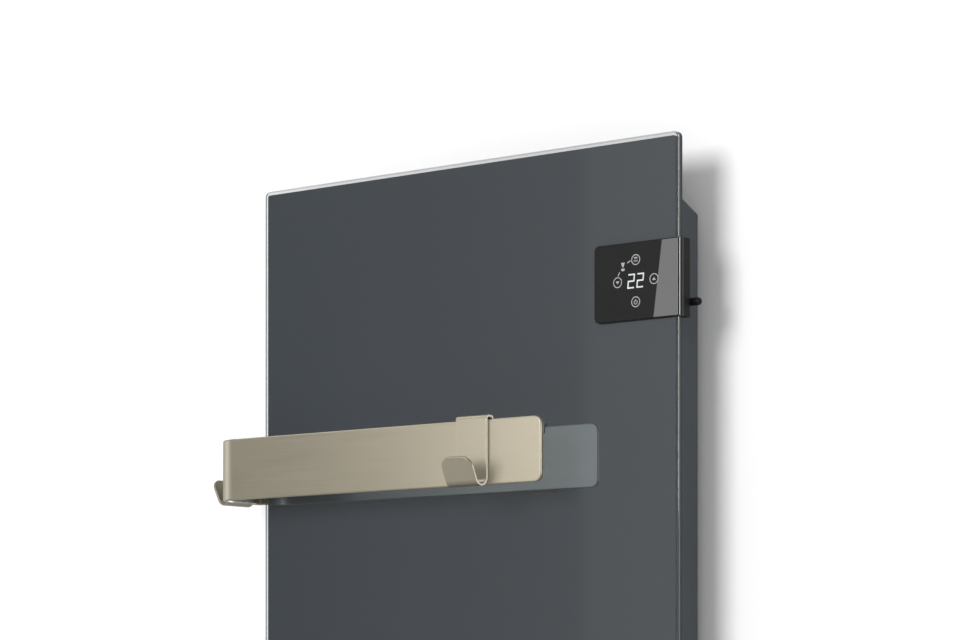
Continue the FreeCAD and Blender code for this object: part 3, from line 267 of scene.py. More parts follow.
@dataclass(frozen=True)
class Finish:
    """A surface finish: two tints and a roughness range, spread by a pattern."""

    name: str
    deep: Colour
    pale: Colour
    rough: Pair
    pattern: Pattern = Pattern.MOTTLE
    stretch: Triple = (30.0, 30.0, 900.0)
    clouds: float = 8.0
    grain: float = 900.0
    metallic: float = 0.0
    ior: float = 1.5
    coat: float = 0.0
    coat_rough: float = 0.1
    grazing: Colour = (1.0, 1.0, 1.0)
    bump: float = 0.01 * MM
    bump_strength: float = 0.2
    fine_in_tint: float = 0.4
    fine_in_rough: float = 0.5
    rub: float = 0.0
    rub_tint: Colour = (0.3, 0.3, 0.3)
    # Outer edges tinted lighter: mostly a painted highlight, beside the polish of cut edges.
    edge: float = 0.0
    edge_highlight_tint: Colour = (0.6, 0.58, 0.51)
    dust: float = 0.0
    dust_tint: Colour = (0.5, 0.49, 0.47)
    dust_rough: float = 0.4

    def _pattern(self, g: Graph) -> tuple[Socket, Socket]:
        """Place the finish's pattern.

        Args:
            g: Graph of the material.

        Returns:
            Its broad and its fine variation.
        """
        node = g.add("ShaderNodeGroup", node_tree=getattr(EFFECTS, self.pattern.value))
        if self.pattern is Pattern.STREAKS:
            node.inputs["Stretch"].default_value = self.stretch
        else:
            node.inputs["Clouds"].default_value = self.clouds
            node.inputs["Grain"].default_value = self.grain
        return node.outputs["Broad"], node.outputs["Fine"]

    def _tint(self, g: Graph, broad: Socket, fine: Socket) -> Socket:
        """Colour over the surface, before rubbing and dust."""
        return g.blend(self._weigh(g, broad, fine, self.fine_in_tint), self.deep, self.pale)

    def _weigh(self, g: Graph, broad: Socket, fine: Socket, share: float) -> Socket:
        """Variation with a given share of the fine one."""
        return g.maths("MULTIPLY_ADD", fine, share, g.maths("MULTIPLY", broad, 1.0 - share))

    def _mask(self, g: Graph, effect: str, share: float) -> Socket:
        """Place a shared mask, weakened to a share."""
        mask = g.add("ShaderNodeGroup", node_tree=getattr(EFFECTS, effect)).outputs["Mask"]
        return g.maths("MULTIPLY", mask, share)

    def _special(self, g: Graph, shader: Node, broad: Socket) -> None:
        """Settings that only some finishes have."""

    def _shown(self, g: Graph, surface: Socket) -> Socket:
        """Surface that the material puts out."""
        return surface

    def material(self) -> Material:
        """Build the finish, or give the one that is there.

        Returns:
            The material.
        """
        label = "finish_" + self.name
        if label in bpy.data.materials:
            return bpy.data.materials[label]
        made = bpy.data.materials.new(label)
        made.use_nodes = True
        g = Graph(made.node_tree)
        broad, fine = self._pattern(g)
        colour = self._tint(g, broad, fine)
        roughness = g.spread(self._weigh(g, broad, fine, self.fine_in_rough), *self.rough)
        if self.rub:
            colour = g.blend(self._mask(g, "rub", self.rub), colour, self.rub_tint)
        # Painted highlight: outer edges tinted lighter as if they caught the light.
        if self.edge:
            colour = g.blend(self._mask(g, "edge", self.edge), colour, self.edge_highlight_tint)
        if self.dust:
            share = self._mask(g, "dust", self.dust)
            colour = g.blend(share, colour, self.dust_tint)
            roughness = g.maths("ADD", roughness, g.maths("MULTIPLY", share, self.dust_rough))
        inputs = {"Base Color": colour, "Roughness": roughness, "Metallic": self.metallic, "IOR": self.ior}
        shader = g.add("ShaderNodeBsdfPrincipled", inputs)
        shader.inputs["Coat Weight"].default_value = self.coat
        shader.inputs["Coat Roughness"].default_value = self.coat_rough
        shader.inputs["Specular Tint"].default_value = (*self.grazing, 1.0)
        if self.bump:
            relief = g.add("ShaderNodeBump", {"Height": fine, "Strength": self.bump_strength, "Distance": self.bump})
            g.tree.links.new(relief.outputs["Normal"], shader.inputs["Normal"])
        self._special(g, shader, broad)
        g.add("ShaderNodeOutputMaterial", {"Surface": self._shown(g, shader.outputs["BSDF"])})
        return made


@dataclass(frozen=True)
class RimGlass(Finish):
    """Glass with no paint behind it: it shows the wall, and its far faces stay unseen."""

    clouds: float = 30.0
    bump: float = 0.0
    cover: float = 1.0

    def _special(self, g: Graph, shader: Node, broad: Socket) -> None:
        """Cover part of what is behind, on faces that look outward only."""
        inside = g.add("ShaderNodeNewGeometry").outputs["Backfacing"]
        g.tree.links.new(g.maths("MULTIPLY_ADD", inside, -self.cover, self.cover), shader.inputs["Alpha"])


@dataclass(frozen=True)
class LitInk(Finish):
    """Print on the control unit's fascia that glows: the digits lit by the display behind them, the key marks with a
    painted glow.
    """

    clouds: float = 120.0
    bump: float = 0.0
    glow: float = 1.0

    def _special(self, g: Graph, shader: Node, broad: Socket) -> None:
        """Glow a little unevenly, as a diffused lamp does."""
        g.tree.links.new(g.blend(broad, self.deep, self.pale), shader.inputs["Emission Color"])
        shader.inputs["Emission Strength"].default_value = self.glow


@dataclass(frozen=True)
class WallPaint(Finish):
    """Paint of the wall, which shows only from its front and takes shadows without giving any."""

    def _shown(self, g: Graph, surface: Socket) -> Socket:
        """Clear the surface for rays that come from behind, make shadows or gather soft light.

        Args:
            g: Graph of the material.
            surface: The painted surface.

        Returns:
            The surface that the material puts out.
        """
        path = g.add("ShaderNodeLightPath").outputs
        hidden = g.add("ShaderNodeNewGeometry").outputs["Backfacing"]
        for ray in ("Is Shadow Ray", "Is Diffuse Ray"):
            hidden = g.maths("MAXIMUM", hidden, path[ray])
        clear = g.add("ShaderNodeBsdfTransparent").outputs[0]
        return g.add("ShaderNodeMixShader", {"Fac": hidden, 1: surface, 2: clear}).outputs[0]


@dataclass(frozen=True)
class HeatingFilm(Finish):
    """Film with printed heating tracks that run side by side."""

    track: Colour = (0.45, 0.25, 0.12)
    tracks_per_metre: float = 70.0
    bands_per_scale: float = 3.0
    track_edge: Pair = (0.45, 0.55)

    def _tint(self, g: Graph, broad: Socket, fine: Socket) -> Socket:
        """Tracks as stripes on the film.

        Args:
            g: Graph of the material.
            broad: Broad variation of the ground.
            fine: Fine variation of the ground.

        Returns:
            The colour.
        """
        inputs = {"Vector": g.place(), "Scale": self.tracks_per_metre / self.bands_per_scale, "Distortion": 0.0}
        wave = g.add("ShaderNodeTexWave", inputs, wave_type="BANDS", bands_direction="X").outputs["Fac"]
        stripe = g.spread(wave, 0.0, 1.0, *self.track_edge)
        return g.blend(stripe, super()._tint(g, broad, fine), self.track)


@dataclass(frozen=True)
class CircuitBoard(Finish):
    """Solder-masked board with tracks and tinned pads."""

    track: Colour = (0.05, 0.3, 0.14)
    pad: Colour = (0.6, 0.6, 0.58)
    pitch: float = 150.0
    pad_edge: Pair = (0.12, 0.16)

    def _tint(self, g: Graph, broad: Socket, fine: Socket) -> Socket:
        """Tracks in a maze of bricks, pads as dots.

        Args:
            g: Graph of the material.
            broad: Broad variation of the ground.
            fine: Fine variation of the ground.

        Returns:
            The colour.
        """
        turned = g.add("ShaderNodeMapping", {"Vector": g.place(), "Rotation": (math.pi / 2, 0, 0)}).outputs[0]
        bricks = {"Vector": turned, "Scale": self.pitch, "Mortar Size": 0.06, "Brick Width": 1.6, "Row Height": 0.5}
        line = g.add("ShaderNodeTexBrick", bricks).outputs["Fac"]
        dots = {"Vector": turned, "Scale": self.pitch, "Randomness": 0.35}
        gap = g.add("ShaderNodeTexVoronoi", dots).outputs["Distance"]
        colour = g.blend(line, super()._tint(g, broad, fine), self.track)
        return g.blend(g.spread(gap, 1.0, 0.0, *self.pad_edge), colour, self.pad)


FINISHES: dict[str, Finish] = {f.name: f for f in (
    Finish("dark_glass", (0.027, 0.033, 0.039), (0.029, 0.036, 0.042), (0.0, 0.012), clouds=3.0, ior=2.3, bump=0.0),
    Finish("paint_edge", (0.085, 0.098, 0.108), (0.095, 0.108, 0.118), (0.4, 0.5), clouds=20.0, ior=1.25, bump=0.0),
    # Outer strip of the glass front: nearly opaque dark glass, a painted reflection of the back paint mirrored inside
    # the edge.
    RimGlass("rim_outer", (0.035, 0.04, 0.042), (0.045, 0.05, 0.052), (0.02, 0.05), ior=1.7, cover=0.92),
    # Outer strip along the top: a lighter copy of the outer strip's finish, painted light.
    RimGlass("rim_top", (0.05, 0.055, 0.057), (0.06, 0.065, 0.067), (0.02, 0.05), ior=1.7, cover=0.5),
    RimGlass("rim_margin", (0.035, 0.04, 0.042), (0.045, 0.05, 0.052), (0.02, 0.05), cover=0.33),
    # Ground edge of the glass: a light front band as painted highlight, a dark back band as painted shade.
    RimGlass("rim_edge_front", (0.3, 0.32, 0.315), (0.36, 0.38, 0.375), (0.15, 0.3), clouds=60.0),
    RimGlass("rim_edge_back", (0.022, 0.027, 0.027), (0.032, 0.037, 0.037), (0.1, 0.2), clouds=60.0, ior=1.25),
    Finish("anthracite_paint", (0.045, 0.053, 0.059), (0.056, 0.064, 0.07), (0.42, 0.56), clouds=10.0, grain=1600.0,
           ior=1.3, bump=0.03 * MM, bump_strength=0.25, rub=0.2, rub_tint=(0.12, 0.125, 0.13), dust=0.1),
    Finish("zinc_steel", (0.4, 0.41, 0.42), (0.56, 0.57, 0.58), (0.3, 0.5), clouds=55.0, grain=500.0, metallic=1.0,
           bump=0.01 * MM, rub=0.3, rub_tint=(0.7, 0.7, 0.7), dust=0.06),
    # Champagne aluminium: its edges carry the painted highlight (edge).
    Finish("champagne_aluminium", (0.226, 0.205, 0.156), (0.242, 0.22, 0.169), (0.34, 0.4), pattern=Pattern.STREAKS,
           stretch=(9.0, 9.0, 500.0), metallic=0.8, coat=0.06, coat_rough=0.3, grazing=(0.5, 0.5, 0.52),
           bump=0.004 * MM, bump_strength=0.08, edge=1.0),
    Finish("black_plastic", (0.005, 0.005, 0.0055), (0.008, 0.008, 0.0085), (0.4, 0.52), clouds=40.0, grain=2400.0,
           ior=1.22, bump=0.02 * MM, bump_strength=0.2, rub=0.15, rub_tint=(0.03, 0.03, 0.032), dust=0.03),
    Finish("gloss_black", (0.008, 0.0082, 0.0082), (0.0105, 0.0108, 0.0108), (0.003, 0.01), clouds=45.0, grain=300.0,
           bump=0.0),
    # Light grey on the control case's rounded right edge: a painted highlight.
    Finish("polished_edge", (0.21, 0.217, 0.217), (0.26, 0.267, 0.267), (0.25, 0.35), clouds=90.0, grain=800.0,
           metallic=0.5),
    # Grey band at the seam of the control case: a painted highlight.
    Finish("seam_line", (0.085, 0.086, 0.087), (0.105, 0.106, 0.107), (0.3, 0.4), clouds=90.0, grain=800.0),
    Finish("black_rubber", (0.011, 0.011, 0.011), (0.022, 0.022, 0.021), (0.7, 0.9), clouds=60.0, grain=1500.0,
           bump=0.03 * MM, bump_strength=0.3, dust=0.15),
    Finish("silicone_bead", (0.03, 0.031, 0.033), (0.05, 0.052, 0.054), (0.4, 0.6), clouds=70.0, grain=400.0),
    HeatingFilm("heating_film", (0.28, 0.17, 0.045), (0.36, 0.23, 0.07), (0.25, 0.4), clouds=12.0),
    Finish("mineral_board", (0.42, 0.38, 0.29), (0.62, 0.57, 0.46), (0.85, 1.0), pattern=Pattern.STREAKS,
           stretch=(60.0, 400.0, 140.0), bump=0.25 * MM, bump_strength=0.6),
    CircuitBoard("circuit_board", (0.015, 0.11, 0.05), (0.025, 0.15, 0.07), (0.3, 0.45), clouds=30.0),
    Finish("display_block", (0.016, 0.016, 0.018), (0.03, 0.03, 0.032), (0.2, 0.3), clouds=80.0),
    Finish("component_black", (0.015, 0.015, 0.016), (0.03, 0.03, 0.031), (0.45, 0.65), clouds=120.0, grain=2000.0,
           bump=0.02 * MM, rub=0.2),
    Finish("terminal_grey", (0.36, 0.37, 0.38), (0.45, 0.46, 0.47), (0.4, 0.55), clouds=60.0, grain=1500.0,
           rub=0.2, rub_tint=(0.6, 0.6, 0.6)),
    Finish("brass", (0.62, 0.44, 0.18), (0.76, 0.57, 0.27), (0.22, 0.4), pattern=Pattern.STREAKS,
           stretch=(500.0, 40.0, 500.0), metallic=1.0, bump=0.005 * MM),
    Finish("lead_jacket", (0.57, 0.55, 0.51), (0.66, 0.64, 0.6), (0.45, 0.6), clouds=90.0, grain=700.0),
    Finish("earth_jacket", (0.2, 0.33, 0.03), (0.3, 0.42, 0.05), (0.45, 0.6), clouds=90.0, grain=700.0),
    LitInk("digit_ink", (0.42, 0.43, 0.435), (0.48, 0.49, 0.495), (0.3, 0.4), glow=0.24),
    # Key marks glow as well, with no lamp behind them: painted light.
    LitInk("key_ink_painted_glow", (0.22, 0.222, 0.224), (0.26, 0.262, 0.264), (0.3, 0.4), glow=0.2),
    WallPaint("wall_white", (0.74, 0.74, 0.745), (0.76, 0.76, 0.765), (0.85, 0.95), clouds=1.2, grain=140.0,
              bump=0.0),
    Finish("floor_pale", (0.72, 0.715, 0.7), (0.78, 0.775, 0.76), (0.55, 0.7), clouds=1.5, grain=90.0, bump=0.0),
)}


# Mesh tools


def edges_along(bm: BMesh, axis: Axis, wanted: Callable[[Vector], bool]) -> list[BMEdge]:
    """Pick the edges that run along an axis and whose middle passes a test."""
    lines = [(e, e.verts[1].co - e.verts[0].co, (e.verts[0].co + e.verts[1].co) / 2) for e in bm.edges]
    return [e for e, way, middle in lines if abs(way.normalized().dot(axis.value)) > PARALLEL and wanted(middle)]


def rim_edges(bm: BMesh, axis: Axis, level: float) -> list[BMEdge]:
    """Pick the edges that lie in a plane across an axis."""
    return [e for e in bm.edges if all(abs(v.co.dot(axis.value) - level) < TOUCH for v in e.verts)]


def round_off(bm: BMesh, geom: list, radius: float, segments: int, affect: str = "EDGES") -> None:
    """Round edges, or the corners of flat faces where affect is VERTICES."""
    bmesh.ops.bevel(bm, geom=geom, offset=radius, offset_type="OFFSET", segments=segments, profile=0.5,
                    affect=affect, material=-1, clamp_overlap=True)


def thicken(bm: BMesh, faces: list[BMFace], step: Vector) -> None:
    """Extrude flat faces by a step into a closed plate."""
    made = bmesh.ops.extrude_face_region(bm, geom=faces)["geom"]
    bmesh.ops.translate(bm, verts=[v for v in made if isinstance(v, BMVert)], vec=step)


def push(bm: BMesh, faces: list[BMFace], step: Vector) -> None:
    """Move faces by a step and join them to where they were by walls."""
    thicken(bm, faces, step)
    bmesh.ops.delete(bm, geom=faces, context="FACES")


def slice_at(bm: BMesh, axis: Axis, level: float) -> None:
    """Cut edges into a whole mesh where it crosses a level of an axis."""
    everything = bm.verts[:] + bm.edges[:] + bm.faces[:]
    bmesh.ops.bisect_plane(bm, geom=everything, plane_co=axis.value * level, plane_no=axis.value)


def take_in(target: BMesh, source: BMesh) -> None:
    """Move a finished shape into a larger mesh.

    Args:
        target: The larger mesh.
        source: The shape, which is freed.
    """
    bmesh.ops.recalc_face_normals(source, faces=source.faces)
    scratch = bpy.data.meshes.new("scratch")
    source.to_mesh(scratch)
    source.free()
    target.from_mesh(scratch)
    bpy.data.meshes.remove(scratch)


def make_object(name: str, bm: BMesh, *finishes: str) -> Object:
    """Turn a mesh into an object with even shading and finishes.

    Args:
        name: Name of the object.
        bm: Its mesh, which is freed.
        finishes: Names of its finishes, in the order of the faces' material numbers.

    Returns:
        The object, at the origin.
    """
    mesh = bpy.data.meshes.new(name)
    bmesh.ops.recalc_face_normals(bm, faces=bm.faces)
    bm.to_mesh(mesh)
    bm.free()
    mesh.shade_smooth()
    mesh.set_sharp_from_angle(angle=SMOOTH_ANGLE)
    for finish in finishes:
        mesh.materials.append(FINISHES[finish].material())
    piece = bpy.data.objects.new(name, mesh)
    bpy.context.scene.collection.objects.link(piece)
    even = piece.modifiers.new("even_shading", "WEIGHTED_NORMAL")
    even.keep_sharp = True
    return piece


# Sub-assemblies


@dataclass
class SubAssembly:
    """Pieces on one body: CAD nodes with better finishes and new pieces that stand for nodes."""

    body: str = "heater"
    nodes: Names = ()
    made: list[Object] = field(default_factory=list)

    def dress(self) -> None:
        """Give every CAD node the finish of its material slot."""
        for name in self.nodes:
            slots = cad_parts[name].material_slots
            slots[0].material = FINISHES[slots[0].material.name.split(".")[0]].material()

    def keep(self, piece: Object, slot: str | None, *replaced: str) -> None:
        """Put a new piece on the body.

        Args:
            piece: The new piece.
            slot: Not used; the piece keeps the finish it was made with.
            replaced: CAD nodes that it stands for.
        """
        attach(piece, self.body)
        if replaced:
            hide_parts(*replaced)
        self.made.append(piece)

    def build(self) -> None:
        """Model the new pieces."""

    def report(self) -> None:
        """Log what the sub-assembly holds."""
        for piece in self.made:
            LOG.info("%s rides on %s: %d faces", piece.name, self.body, len(piece.data.polygons))
        LOG.info("%s: %d CAD nodes dressed on %s", type(self).__name__, len(self.nodes), self.body)


class RimZone(Enum):
    """Zones of the glass round the painted pane, with the finish of each."""

    OUTER = "rim_outer"
    TOP = "rim_top"
    MARGIN = "rim_margin"
    EDGE_FRONT = "rim_edge_front"
    EDGE_BACK = "rim_edge_back"


@dataclass
class GlassFront(SubAssembly):
    """Back-painted pane, its clear margin and its ground edge."""

    nodes: Names = ("glass_panel", "bond_bead")
    paint_inset: float = 3.9 * MM
    # Width of the dark outer strip round the glass: a painted reflection of the back paint.
    shaded_width: float = 1.9 * MM
    # Depth of the light front band on the ground edge: painted highlight; behind it the edge is painted dark as
    # shade.
    highlight_depth: float = 1.3 * MM
    corner_radius: float = 6.0 * MM
    arris: float = 0.8 * MM
    joint: float = 0.03 * MM
    corner_steps: int = 10
    arris_steps: int = 3
    low: Vector = field(init=False)
    high: Vector = field(init=False)

    def _outline(self, low: Vector, high: Vector, radius: float) -> BMesh:
        """Flat rounded rectangle at the back of the glass.

        Args:
            low: Lowest corner of the plate.
            high: Highest corner.
            radius: Radius of its corners.

        Returns:
            A mesh with one face.
        """
        bm = bmesh.new()
        place = Matrix.Translation((0, high.y, (low.z + high.z) / 2)) @ Matrix.Rotation(math.pi / 2, 4, "X")
        size = Matrix.Diagonal(((high.x - low.x) / 2, (high.z - low.z) / 2, 1.0, 1.0))
        bmesh.ops.create_grid(bm, x_segments=1, y_segments=1, size=1.0, matrix=place @ size)
        round_off(bm, bm.verts[:], radius, self.corner_steps, "VERTICES")
        return bm

    def build(self) -> None:
        """Model the painted pane and the rim round it."""
        self.low, self.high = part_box("glass_panel")
        depth = Vector((0, self.low.y - self.high.y, 0))
        inset = Vector((1, 0, 1)) * (self.paint_inset + self.joint)
        pane = self._outline(self.low + inset, self.high - inset, self.corner_radius - inset.x)
        thicken(pane, pane.faces[:], depth)
        for face in pane.faces:
            is_edge = len(face.verts) == 4
            face.material_index = int(is_edge)
        self.keep(make_object("glass_pane", pane, "dark_glass", "paint_edge"), "dark_glass", "glass_panel")
        self.keep(make_object("glass_rim", self._rim(depth), *(zone.value for zone in RimZone)), None)

    def _rim(self, depth: Vector) -> BMesh:
        """Frame of unpainted glass with ground outer edges.

        Args:
            depth: Step from its back to its front.

        Returns:
            Its mesh, with a zone number on each face.
        """
        bm = self._outline(self.low, self.high, self.corner_radius)
        whole = bm.faces[:]
        for width in (self.shaded_width, self.paint_inset - self.shaded_width):
            bmesh.ops.inset_region(bm, faces=whole, thickness=width, use_boundary=True, use_even_offset=True)
        bmesh.ops.delete(bm, geom=whole, context="FACES_ONLY")
        thicken(bm, bm.faces[:], depth)
        outer = [e for e in rim_edges(bm, Axis.Y, self.low.y) + rim_edges(bm, Axis.Y, self.high.y)
                 if self._inward(e.verts) < NEAR]
        round_off(bm, outer, self.arris, self.arris_steps)
        slice_at(bm, Axis.Y, self.low.y + self.highlight_depth)
        bmesh.ops.recalc_face_normals(bm, faces=bm.faces)
        zones = list(RimZone)
        for face in bm.faces:
            face.material_index = zones.index(self._zone(face))
        return bm

    def _inward(self, verts: Iterable[BMVert]) -> float:
        """Find how far inside the outline of the glass a face or edge lies.

        Args:
            verts: Its vertices.

        Returns:
            Their mean distance from the outline.
        """
        low, high, turn = self.low, self.high, self.corner_radius
        reach = []
        for v in verts:
            x = min(v.co.x - low.x, high.x - v.co.x)
            z = min(v.co.z - low.z, high.z - v.co.z)
            round_corner = x < turn and z < turn
            reach.append(turn - math.hypot(turn - x, turn - z) if round_corner else min(x, z))
        return sum(reach) / len(reach)

    def _zone(self, face: BMFace) -> RimZone:
        """Find the zone that a face of the rim belongs to.

        Args:
            face: The face.

        Returns:
            Its zone.
        """
        inward = self._inward(face.verts)
        # The ground edge is split by depth: the front band painted light as a highlight, the back band painted dark
        # as shade.
        if abs(face.normal.y) < ACROSS and inward < NEAR:
            near = face.calc_center_median().y < self.low.y + self.highlight_depth
            return RimZone.EDGE_FRONT if near else RimZone.EDGE_BACK
        # The outer strip is dark glass that stands for a painted reflection of the back paint.
        if inward < self.shaded_width and face.normal.y < -ACROSS:
            # Along the top the outer strip takes a lighter copy of its finish: painted light.
            return RimZone.TOP if face.calc_center_median().z > self.high.z - self.shaded_width else RimZone.OUTER
        return RimZone.MARGIN


class CaseZone(Enum):
    """Zones of the control unit's front case, with the finish of each; the edge and seam zones are painted
    highlights.
    """

    BODY = "black_plastic"
    EDGE = "polished_edge"
    SEAM = "seam_line"


@dataclass(frozen=True)
class Stroke:
    """Straight printed stroke with round ends, in millimetres right and up from the middle of its sign."""

    start: Pair
    end: Pair
    width: float


@dataclass
class ControlUnit(SubAssembly):
    """Touch control on the glass edge: bezel, gloss fascia, printed keys and lit digits."""

    nodes: Names = ("control_front_case", "control_fascia", "control_rear_case", "touch_board", "led_display",
                    "room_sensor")
    corner_radius: float = 5.0 * MM
    corner_steps: int = 8
    bezel: float = 0.9 * MM
    bezel_clearance: float = 0.1 * MM
    bezel_depth: float = 1.6 * MM
    edge_radius: float = 0.7 * MM
    edge_steps: int = 4
    glass_clearance: float = 0.3 * MM
    seam: float = 0.8 * MM
    fascia_gap: float = 1.3 * MM
    fascia_edge: float = 0.25 * MM
    fascia_edge_steps: int = 3
    fascia_side_edge: float = 0.4 * MM
    fascia_side_steps: int = 5
    print_height: float = 0.05 * MM
    print_steps: int = 3
    print_shift: Pair = (-0.92 * MM, 0.05 * MM)
    key_reach: Pair = (20.0 * MM, 19.0 * MM)
    ring_radius: float = 4.45 * MM
    ring_line: float = 0.85 * MM
    ring_steps: int = 48
    digit_size: Pair = (7.4 * MM, 13.2 * MM)
    digit_pitch: float = 10.0 * MM
    digit_line: float = 1.3 * MM
    digit_rounding: float = 0.5 * MM
    digit_slant: float = 0.1
    arrow_half: float = 2.05 * MM
    arrow_foot: float = 1.2 * MM
    arrow_tip: float = 1.7 * MM
    arrow_rounding: float = 0.35 * MM
    programme_sign: tuple[Stroke, ...] = (
        Stroke((-1.9, 1.7), (1.9, 1.7), 1.3), Stroke((-1.5, -0.1), (-1.5, -2.1), 0.75),
        Stroke((0.0, -0.1), (0.0, -2.1), 0.75), Stroke((1.5, -0.1), (1.5, -2.1), 0.75))
    power_stroke: Stroke = Stroke((0.0, 2.5), (0.0, 0.2), 0.9)
    power_drop: float = 0.3 * MM
    power_radius: float = 1.75 * MM
    power_line: float = 0.75 * MM
    power_sweep: float = math.radians(290)
    shade_middle: Pair = (-14.1 * MM, 15.4 * MM)
    shade_half: float = 2.15 * MM
    shade_foot: float = 0.6 * MM
    shade_rise: float = 2.1 * MM
    shade_rounding: float = 0.3 * MM
    stroke_rounding: float = 0.45
    lamp_strokes: tuple[Stroke, ...] = (
        Stroke((-16.05, 11.05), (-12.15, 11.05), 2.3), Stroke((-9.4, 16.8), (-5.7, 18.5), 1.0),
        Stroke((-17.6, 9.2), (-19.6, 5.6), 1.0))
    origin: Vector = field(init=False)

    def _plate(self, low: Vector, high: Vector, radius: float) -> BMesh:
        """Plate with round left corners.

        Args:
            low: Lowest corner.
            high: Highest corner.
            radius: Radius of the left corners.

        Returns:
            The mesh.
        """
        bm = bmesh.new()
        middle = (low + high) / 2
        place = Matrix.Translation(middle) @ Matrix.Diagonal((*(high - low), 1.0))
        bmesh.ops.create_cube(bm, size=1.0, matrix=place)
        round_off(bm, edges_along(bm, Axis.Y, lambda c: c.x < middle.x), radius, self.corner_steps)
        return bm

    def build(self) -> None:
        """Model the front case, the fascia and what is printed on it."""
        self._front_case()
        low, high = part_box("control_fascia")
        end = high - Vector((self.fascia_gap, 0, 0))
        plate = self._plate(low, end, self.corner_radius - self.bezel)
        side = edges_along(plate, Axis.Z, lambda c: c.x > end.x - NEAR and c.y < low.y + NEAR)
        round_off(plate, side, self.fascia_side_edge, self.fascia_side_steps)
        round_off(plate, rim_edges(plate, Axis.Y, low.y), self.fascia_edge, self.fascia_edge_steps)
        self.keep(make_object("fascia_plate", plate, "gloss_black"), "gloss_black", "control_fascia")
        centre = (low + high) / 2
        self.origin = Vector((centre.x + self.print_shift[0], low.y, centre.z + self.print_shift[1]))
        self.keep(make_object("fascia_digits", self._digits(), "digit_ink"), "display_block")
        # The key marks carry a painted glow.
        self.keep(make_object("fascia_keys", self._keys(), "key_ink_painted_glow"), "display_block")

    def _front_case(self) -> None:
        """Shallow tray with a rounded rim, a seat for the fascia and a lip over the glass edge."""
        low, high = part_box("control_front_case")
        glass_low, glass_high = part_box("glass_panel")
        _, fascia_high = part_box("control_fascia")
        bm = self._plate(low, Vector((high.x, glass_low.y, high.z)), self.corner_radius)
        front = [f for f in bm.faces if f.normal.y < -FACING]
        bmesh.ops.inset_region(bm, faces=front, thickness=self.bezel - self.bezel_clearance, use_even_offset=True)
        push(bm, front, Vector((0, fascia_high.y - low.y, 0)))
        slice_at(bm, Axis.X, glass_high.x + self.glass_clearance)
        lip = [f for f in bm.faces if f.normal.y > FACING and f.calc_center_median().x > glass_high.x
               and abs(f.calc_center_median().y - glass_low.y) < TOUCH]
        push(bm, lip, Vector((0, high.y - glass_low.y, 0)))
        walls = [f for f in bm.faces
                 if abs(f.normal.y) < ACROSS and f.calc_center_median().y > low.y + self.bezel_depth]
        outer = [e for e in rim_edges(bm, Axis.Y, low.y) if any(f in walls for f in e.link_faces)]
        round_off(bm, outer, self.edge_radius, self.edge_steps)
        slice_at(bm, Axis.Y, high.y - self.seam)
        zones = list(CaseZone)
        for face in bm.faces:
            middle = face.calc_center_median()
            # Painted highlight: the rounded right front edge is tinted light grey, as if it caught the light.
            if middle.x > fascia_high.x and middle.y < low.y + self.edge_radius:
                face.material_index = zones.index(CaseZone.EDGE)
            # Painted highlight: the band at the seam, at the back of the front case, is tinted grey.
            elif middle.y > high.y - self.seam:
                face.material_index = zones.index(CaseZone.SEAM)
        case = make_object("control_case", bm, *(zone.value for zone in zones))
        self.keep(case, "black_plastic", "control_front_case")

    def _shape(self, target: BMesh, points: Sequence[Pair], rounding: float, slant: float = 0.0) -> None:
        """Print a flat shape on the fascia.

        Args:
            target: Mesh that gets it.
            points: Its corners, right and up from the middle of the print.
            rounding: Radius of its corners.
            slant: How far it leans to the right for each step up.
        """
        bm = bmesh.new()
        outline = [bm.verts.new(self.origin + Vector((u + slant * v, 0, v))) for u, v in points]
        bm.faces.new(outline)
        round_off(bm, bm.verts[:], rounding, self.print_steps, "VERTICES")
        thicken(bm, bm.faces[:], Vector((0, -self.print_height, 0)))
        take_in(target, bm)

    def _ring(self, target: BMesh, u: float, v: float, radius: float, line: float, sweep: float = math.tau) -> None:
        """Print a ring, or one with a gap at its top.

        Args:
            target: Mesh that gets it.
            u: Middle of the ring, to the right.
            v: Middle of the ring, up.
            radius: Radius of the line's middle.
            line: Width of the line.
            sweep: Angle that the line covers.
        """
        bm = bmesh.new()
        centre = self.origin + Vector((u, 0, v))
        whole = sweep == math.tau
        start = 0.0 if whole else math.pi / 2 + (math.tau - sweep) / 2
        toward = Vector((math.cos(start), 0, math.sin(start)))
        corners = []
        for r, y in ((-line / 2, 0), (line / 2, 0), (line / 2, -self.print_height), (-line / 2, -self.print_height)):
            corners.append(bm.verts.new(centre + toward * (radius + r) + Vector((0, y, 0))))
        bm.faces.new(corners)
        if whole:
            bmesh.ops.delete(bm, geom=bm.faces[:], context="FACES_ONLY")
        bmesh.ops.spin(bm, geom=bm.verts[:] + bm.edges[:] + bm.faces[:], cent=centre, axis=-Axis.Y.value, angle=sweep,
                       steps=self.ring_steps, use_merge=whole)
        take_in(target, bm)

    def _digits(self) -> BMesh:
        """Two leaning digits of rounded strokes.

        Returns:
            Their mesh.
        """
        bm = bmesh.new()
        wide, tall = self.digit_size
        line = self.digit_line
        half = tall / 2
        for side in (-1, 1):
            left = side * self.digit_pitch / 2 - wide / 2
            right = left + wide
            points = [(left, half), (right, half), (right, -line / 2), (left + line, -line / 2),
                      (left + line, line - half), (right, line - half), (right, -half), (left, -half),
                      (left, line / 2), (right - line, line / 2), (right - line, half - line), (left, half - line)]
            self._shape(bm, points, self.digit_rounding, self.digit_slant)
        return bm

